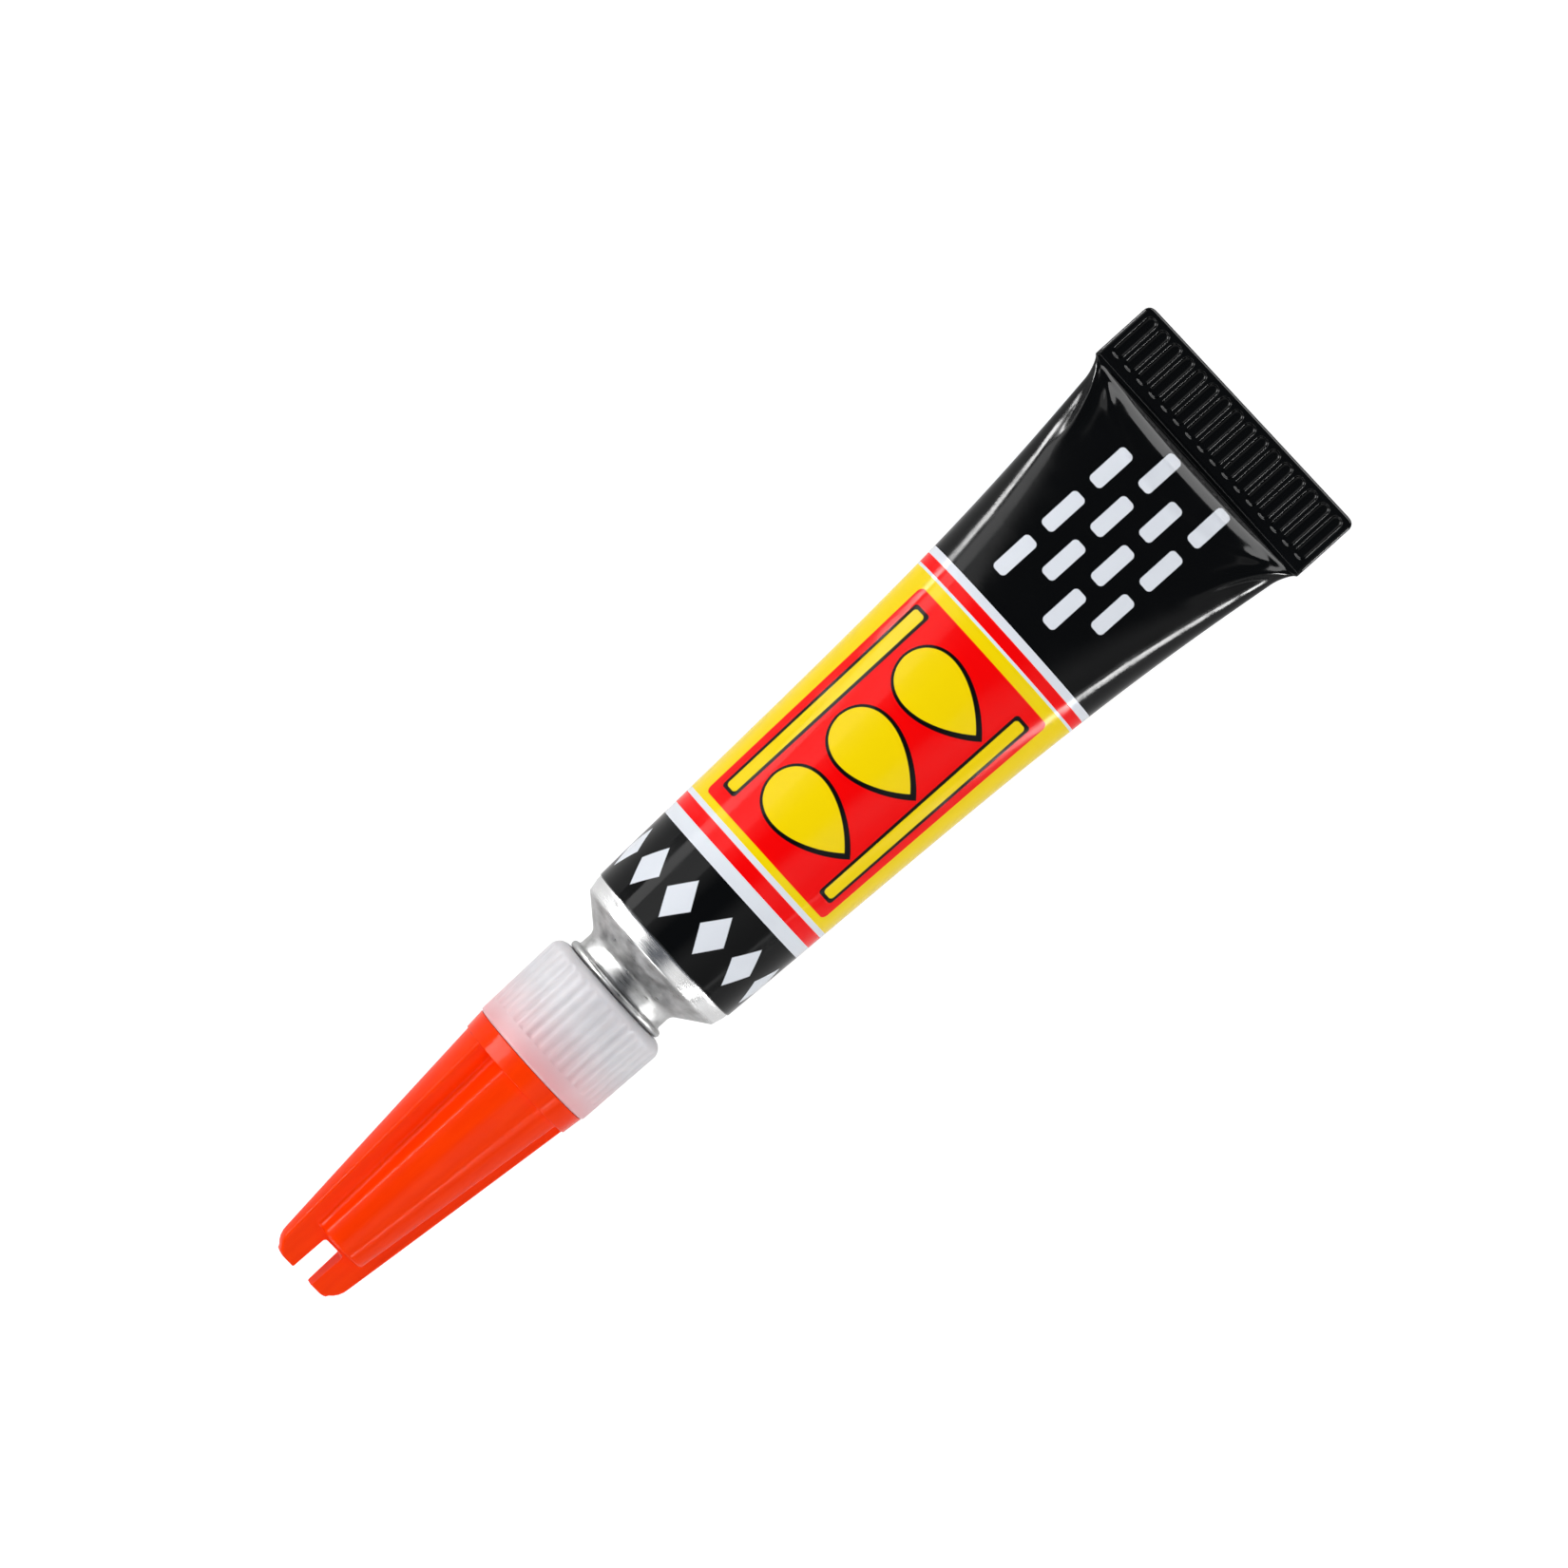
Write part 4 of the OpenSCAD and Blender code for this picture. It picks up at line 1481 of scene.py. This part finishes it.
@dataclass
class Cap:
    """Winged cap: two wings that end in prongs, two lobes between them, a ring and a skirt."""

    length: float = 22.05
    tip_r: float = 3.25
    base_r: float = 5.22
    ring_length: float = 1.55
    ledge: float = 0.05
    wing_half: Pair = (0.5, 1.55)
    lobe_start: float = 3.4
    lobe_r: Pair = (2.7, 4.8)
    lobe_half: Pair = (2.0, 3.05)
    slot_half: float = 1.025
    slot_depth: float = 3.06
    prong_r: float = 1.7
    turn: float = 26.0
    skirt: Pair = (23.35, 4.2)
    boss_bore: Pair = (20.9, 3.2)
    bore: tuple[float, float, float] = (5.3, 1.156, 2.532)
    corner_r: float = 0.38
    valley_r: float = 0.45
    wing_edge_r: float = 0.26
    end_r: float = 0.28
    prong_edge_r: float = 0.16
    prong_blunt: float = 0.12
    prong_stations: tuple[float, ...] = (0.35, 0.6, 0.9, 1.3, 1.7, 2.2, 2.7, 3.1, 3.3)
    ring_edge_r: Pair = (0.08, 0.06)
    slot_edge: float = 0.25
    pin_hole_r: float = 0.5
    counts: tuple[int, ...] = (8, 5, 3, 5, 5, 5, 4)

    def cone_r(self, z: float) -> float:
        """Radius of the cap's own cone at a distance from the prongs' end."""
        return self.tip_r + (self.base_r - self.tip_r) * z / self.length

    def wing_r(self, z: float) -> float:
        """Measures a wing, whose edge is rounded at the prongs' end.

        Args:
            z: Distance from the prongs' end.

        Returns:
            Distance from the axis to the wing's edge.
        """
        if z >= self.prong_r:
            return self.cone_r(z) - self.ledge
        return self.cone_r(self.prong_r) - self.ledge - round_over(self.prong_r, self.prong_r - z)

    def quarter(self, z: float, inset: float, lobe_inset: float, lobes: bool) -> Profile:
        """A quarter of the section, from the middle of a lobe to the middle of a wing.

        Args:
            z: Distance from the prongs' end.
            inset: How far the wing is drawn in.
            lobe_inset: How far the lobe is drawn in.
            lobes: Whether the lobes are there, or lie flat on the wing's face.

        Returns:
            Points across the lobe's and the wing's direction, the last one left out.
        """
        ledge_z = self.length - self.ring_length
        wing = between(self.wing_half, z / ledge_z) - inset
        lobe_share = max(0.0, (z - self.lobe_start) / (ledge_z - self.lobe_start))
        lobe_r = between(self.lobe_r, lobe_share) - lobe_inset
        lobe_half = between(self.lobe_half, lobe_share) - lobe_inset
        outer = self.wing_r(z) - inset
        edge = min(self.wing_edge_r, 0.8 * wing)
        points: Profile = []

        def arc(cx: float, cy: float, r: float, start: float, end: float, count: int) -> None:
            """Adds an arc's points, without its last one.

            Args:
                cx: Centre across the lobes.
                cy: Centre along the wings.
                r: Radius.
                start: First angle in radians.
                end: Last angle in radians.
                count: Number of points.
            """
            for i in range(count):
                a = start + (end - start) * i / count
                points.append((cx + r * math.cos(a), cy + r * math.sin(a)))

        def line(first: Pair, last: Pair, count: int) -> None:
            """Adds a line's points, without its last one."""
            for i in range(count):
                points.append(tuple(p + (q - p) * i / count for p, q in zip(first, last)))

        n = self.counts
        corner_x = math.sqrt((lobe_r - self.corner_r) ** 2 - (lobe_half - self.corner_r) ** 2)
        lean = math.atan2(lobe_half - self.corner_r, corner_x)
        valley = self.valley_r
        arc(0.0, 0.0, lobe_r, 0.0, lean, n[0])
        arc(corner_x, lobe_half - self.corner_r, self.corner_r, lean, math.pi / 2, n[1])
        line((corner_x, lobe_half), (wing + valley, lobe_half), n[2])
        arc(wing + valley, lobe_half + valley, valley, -math.pi / 2, -math.pi, n[3])
        reach = math.sqrt((outer - edge) ** 2 - (wing - edge) ** 2)
        foot = lobe_half + valley
        if not lobes:
            run = [0.0]
            for p, q in zip(points, points[1:] + [(wing, foot)]):
                run.append(run[-1] + math.dist(p, q))
            foot = min(foot, 0.8 * reach)
            points[:] = [(wing, foot * r / run[-1]) for r in run[:-1]]
        line((wing, foot), (wing, reach), n[4])
        tilt = math.atan2(reach, wing - edge)
        arc(wing - edge, reach, edge, 0.0, tilt, n[5])
        arc(0.0, 0.0, outer, tilt, math.pi / 2, n[6])
        return points

    def put(self, z: float, section: Sequence[Pair]) -> Ring:
        """Puts a section in the row frame.

        Args:
            z: Distance from the prongs' end.
            section: Points across the lobes and along the wings.

        Returns:
            The ring.
        """
        cos, sin = math.cos(math.radians(self.turn)), math.sin(math.radians(self.turn))
        return [(TIP_X + z, x * sin + y * cos, AXIS_Z - (x * cos - y * sin)) for x, y in section]

    def outline(
        self, z: float, inset: float = 0.0, lobe_inset: float = 0.0, lobes: bool = True
    ) -> Profile:
        """The whole section from its quarter.

        Args:
            z: Distance from the prongs' end.
            inset: How far the wings are drawn in.
            lobe_inset: How far the lobes are drawn in.
            lobes: Whether the lobes are there.

        Returns:
            The closed section's points.
        """
        quarter = self.quarter(z, inset, lobe_inset, lobes)
        top = (0.0, self.wing_r(z) - inset)
        upper = quarter + [top] + [(-x, y) for x, y in reversed(quarter[1:])]
        return upper + [(-x, -y) for x, y in upper]

    def rings(self) -> list[Ring]:
        """Draws all rings, from the prongs' end over the outside and back up the bore.

        Returns:
            The rings in order.
        """
        rings = []
        tip = self.prong_edge_r
        for i in range(5):
            a = math.pi / 2 * i / 4
            z = tip * (1.0 - math.cos(a))
            inset = tip * (1.0 - math.sin(a))
            section = self.outline(z + self.prong_blunt, inset, self.end_r, False)
            rings.append(self.put(z, section))
        for z in (*self.prong_stations, self.lobe_start - 0.01):
            rings.append(self.put(z, self.outline(z, 0.0, self.end_r, False)))
        for i in range(5):
            a = math.pi / 2 * i / 4
            z = self.lobe_start + self.end_r * (1.0 - math.cos(a))
            rings.append(self.put(z, self.outline(z, lobe_inset=self.end_r * (1.0 - math.sin(a)))))
        ledge_z = self.length - self.ring_length
        start = self.lobe_start + self.end_r
        for i in range(1, 17):
            z = start + (ledge_z - start) * i / 16
            rings.append(self.put(z, self.outline(z)))
        around = [math.atan2(y, x) for x, y in self.outline(ledge_z)]

        def turned(z: float, r: float) -> Ring:
            """A round ring at the section's own angles."""
            return self.put(z, [(r * math.cos(a), r * math.sin(a)) for a in around])

        top = self.cone_r(ledge_z)
        skirt_z, skirt_r = self.skirt
        boss_z, boss_r = self.boss_bore
        bore_z, bore_r, bore_base = self.bore
        front, rear = self.ring_edge_r
        turns = corner_arc((ledge_z + front, top - front), front, 180.0, 95.0, 4)
        turns += [(self.length - front, self.cone_r(self.length - front))]
        turns += corner_arc((self.length - rear, self.base_r - rear), rear, 80.0, 0.0, 3)
        turns += [(self.length, skirt_r), (skirt_z - 0.25, skirt_r), (skirt_z, skirt_r - 0.2)]
        turns += [(skirt_z, boss_r + 0.15), (skirt_z - 0.15, boss_r)]
        turns += [(boss_z, boss_r), (boss_z, bore_base)]
        turns += [(bore_z + 0.3, bore_r), (bore_z, bore_r - 0.3), (bore_z, self.pin_hole_r)]
        return rings + [turned(z, r) for z, r in turns]

    def cut_slot(self, obj: bpy.types.Object) -> None:
        """Cuts the slot between the prongs.

        Args:
            obj: The cap, in object mode and in millimetres.
        """
        bpy.ops.object.select_all(action="DESELECT")
        bpy.ops.mesh.primitive_cube_add(size=1.0)
        cutter = bpy.context.object
        bpy.ops.object.mode_set(mode="EDIT")
        bpy.ops.transform.resize(value=(2 * self.slot_depth, 2 * self.slot_half, 4 * self.base_r))
        bpy.ops.mesh.bevel(offset=self.slot_edge, segments=3, affect="EDGES")
        bpy.ops.object.mode_set(mode="OBJECT")
        cutter.rotation_euler = (math.radians(self.turn), 0.0, 0.0)
        cutter.location = (TIP_X, 0.0, AXIS_Z)
        bpy.ops.object.transform_apply(location=True, rotation=True, scale=True)
        bpy.ops.object.select_all(action="DESELECT")
        bpy.context.view_layer.objects.active = obj
        cut = obj.modifiers.new("slot", "BOOLEAN")
        cut.operation = "DIFFERENCE"
        cut.solver = "EXACT"
        cut.object = cutter
        bpy.ops.object.modifier_apply(modifier=cut.name)
        bpy.data.objects.remove(cutter)

    def build(self, plastic: bpy.types.Material) -> bpy.types.Object:
        """Models the cap and dresses it.

        Args:
            plastic: Finish of the moulding.

        Returns:
            The cap.
        """
        skin = Skin.drawn("cap_moulding", self.rings())
        skin.close(Close.LIDS)
        skin.leave()
        self.cut_slot(skin.obj)
        settle(skin.obj, 35.0)
        skin.obj.data.materials.append(plastic)
        fit(skin.obj, Body.CAP, "orange_plastic", "cap")
        return skin.obj


@dataclass(frozen=True)
class KeptNodes:
    """CAD solids whose shape is right and that only need a finish."""

    def dress(self, nodes: dict[str, bpy.types.Object]) -> None:
        """Gives each one its finish.

        Args:
            nodes: The CAD nodes by name.
        """
        finishes = {
            "tail_sealant": PlainSolid("latex", (0.72, 0.62, 0.42), (0.80, 0.70, 0.52), (0.5, 0.7)),
            "adhesive": PlainSolid(
                "clear_liquid", (0.90, 0.92, 0.86), (0.94, 0.95, 0.90), (0.02, 0.05), clear=1.0
            ),
            "cap_pin": PlainSolid(
                "bright_steel", (0.62, 0.62, 0.63), (0.74, 0.74, 0.75), (0.15, 0.3), metal=1.0
            ),
        }
        for name, finish in finishes.items():
            mesh = nodes[name].data
            mesh.materials.clear()
            mesh.materials.append(finish.make())
            LOG.info("%s keeps its solid and takes the finish %s", name, finish.name)


class LampRole(Enum):
    """What a lamp is there for."""

    BOTH = "lights the tube and shows in its gloss"
    FILL = "only lights the tube"
    CARD = "only shows in its gloss"


@dataclass(frozen=True)
class Softbox:
    """A lamp hung beside the tube, or off its tail, and turned to face it."""

    name: str
    tilt: float
    size: Pair
    power: float
    shift: float = 0.0
    reach: float = 0.75
    off_tail: bool = False
    role: LampRole = LampRole.BOTH

    def hang(self) -> None:
        """Adds the lamp."""
        a = math.radians(self.tilt)
        out, up = self.reach * math.sin(a), self.reach * math.cos(a)
        place = (out, self.shift, up) if self.off_tail else (self.shift, out, up)
        bpy.ops.object.light_add(type="AREA", location=place)
        lamp = bpy.context.object
        lamp.name = self.name
        lamp.rotation_euler = (0.0, a, 0.0) if self.off_tail else (-a, 0.0, 0.0)
        lamp.visible_glossy = self.role is not LampRole.FILL
        lamp.visible_diffuse = self.role is not LampRole.CARD
        lamp.data.shape = "RECTANGLE"
        lamp.data.size, lamp.data.size_y = self.size
        lamp.data.energy = self.power


@dataclass
class Studio:
    """Pale floor, soft light and the camera straight above the printed face."""

    middle: Pair = (3.235, 2.78)
    distance: float = 560.0
    frame_width: float = 111.07
    lie: float = 42.05
    floor_drop: float = 0.02
    paper: Colour = (0.40, 0.40, 0.40)
    paper_glow: Pair = (0.25, 0.78)
    mirrored_glow: float = 0.25
    dim_run: Pair = (0.05, 0.22)
    dim_end: float = 0.25
    walls: tuple[tuple[float, Colour], ...] = (
        (0.20, (0.12, 0.13, 0.15)),
        (0.50, (1.15, 1.15, 1.15)),
        (1.0, (0.55, 0.55, 0.55)),
    )
    softboxes: tuple[Softbox, ...] = (
        Softbox("key_softbox", 30.0, (1.0, 0.4), 1.3, role=LampRole.FILL),
        Softbox("fill_softbox", -34.0, (1.0, 0.4), 2.4, role=LampRole.FILL),
        Softbox("edge_strip", 66.0, (0.7, 0.20), 2.4, shift=-0.21),
        Softbox("far_strip", -76.0, (0.7, 0.06), 0.25, shift=-0.21),
        Softbox("side_card", 44.0, (0.7, 0.36), 1.4, shift=-0.21, role=LampRole.CARD),
        Softbox("tail_card", 74.0, (0.5, 0.9), 17.0, off_tail=True, role=LampRole.CARD),
        Softbox("head_card", -74.0, (0.3, 0.4), 2.5, off_tail=True, role=LampRole.CARD),
        Softbox("cap_card", 57.0, (0.28, 0.45), 5.5, shift=-0.36, role=LampRole.CARD),
        Softbox("far_cap_card", -70.0, (0.28, 0.05), 0.6, shift=-0.36, role=LampRole.CARD),
        Softbox("crimp_card", 84.0, (0.12, 0.12), 3.4, shift=0.11, role=LampRole.CARD),
        Softbox("far_crimp_card", -84.0, (0.12, 0.12), 3.4, shift=0.11, role=LampRole.CARD),
    )

    def floor(self) -> None:
        """Adds the floor, white to the camera, with the tube's shadow on it."""
        bpy.ops.object.select_all(action="DESELECT")
        bpy.ops.mesh.primitive_plane_add(size=3.0, location=(0.0, 0.0, -self.floor_drop * MM))
        ground = bpy.context.object
        ground.name = "studio_floor"
        graph = Graph("studio_paper")
        rays = graph.add("ShaderNodeLightPath").outputs
        mirrored = graph.maths("MAXIMUM", rays["Is Glossy Ray"], rays["Is Transmission Ray"])
        shown = graph.spread(rays["Is Camera Ray"], 0.0, 1.0, *self.paper_glow)
        seen = graph.plus(shown, graph.times(mirrored, self.mirrored_glow))
        graph.set(
            Base_Color=self.paper,
            Roughness=0.9,
            Emission_Color=(1.0, 1.0, 1.0),
            Emission_Strength=seen,
        )
        ground.data.materials.append(graph.material)

    def world(self) -> None:
        """Puts a pale wall along each side, under a dim ceiling and with a dim end at the tail."""
        world = bpy.data.worlds.new("studio_walls")
        bpy.context.scene.world = world
        world.use_nodes = True
        add, link = world.node_tree.nodes.new, world.node_tree.links.new
        back = world.node_tree.nodes["Background"]
        parts = add("ShaderNodeSeparateXYZ")
        link(add("ShaderNodeTexCoord").outputs["Generated"], parts.inputs[0])
        aside, level = add("ShaderNodeMath"), add("ShaderNodeMath")
        aside.operation, level.operation = "ABSOLUTE", "MULTIPLY"
        ends = add("ShaderNodeMapRange")
        for socket, number in zip(ends.inputs[1:5], (*self.dim_run, 1.0, self.dim_end)):
            socket.default_value = number
        ramp = add("ShaderNodeValToRGB")
        link(parts.outputs["X"], ends.inputs[0])
        link(parts.outputs["Y"], aside.inputs[0])
        link(aside.outputs[0], level.inputs[0])
        link(ends.outputs[0], level.inputs[1])
        link(level.outputs[0], ramp.inputs[0])
        link(ramp.outputs[0], back.inputs[0])
        stops = ramp.color_ramp.elements
        while len(stops) < len(self.walls):
            stops.new(1.0)
        for stop, (place, colour) in zip(stops, self.walls):
            stop.position, stop.color = place, (*colour, 1.0)

    def camera(self) -> None:
        """Sets the camera square above the tube, turned to the slant that the tube lies at."""
        place = (*self.middle, AXIS_Z + self.distance)
        bpy.ops.object.camera_add(location=[value * MM for value in place])
        eye = bpy.context.object
        eye.name = "studio_camera"
        eye.rotation_euler = (0.0, 0.0, -math.radians(self.lie))
        eye.data.sensor_width = 36.0
        eye.data.lens = eye.data.sensor_width * self.distance / self.frame_width
        eye.data.clip_start = 0.01
        bpy.context.scene.camera = eye

    def build(self) -> None:
        """Sets up the whole studio."""
        self.floor()
        self.world()
        for softbox in self.softboxes:
            softbox.hang()
        self.camera()
        bpy.context.scene.view_settings.view_transform = "Standard"


def main() -> None:
    """Builds every piece in order."""
    logging.basicConfig(level=logging.INFO, format="%(message)s")
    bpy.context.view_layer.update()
    ink = PrintedEnamel().make()
    metal = BareAluminium().make()
    Barrel().build(ink, metal)
    Crimp().build(ink)
    Head().build(metal)
    Nozzle().build(MilkyPlastic().make())
    Cap().build(OrangePlastic().make())
    KeptNodes().dress(frame["nodes"])
    Studio().build()


if __name__ == "__main__":
    main()
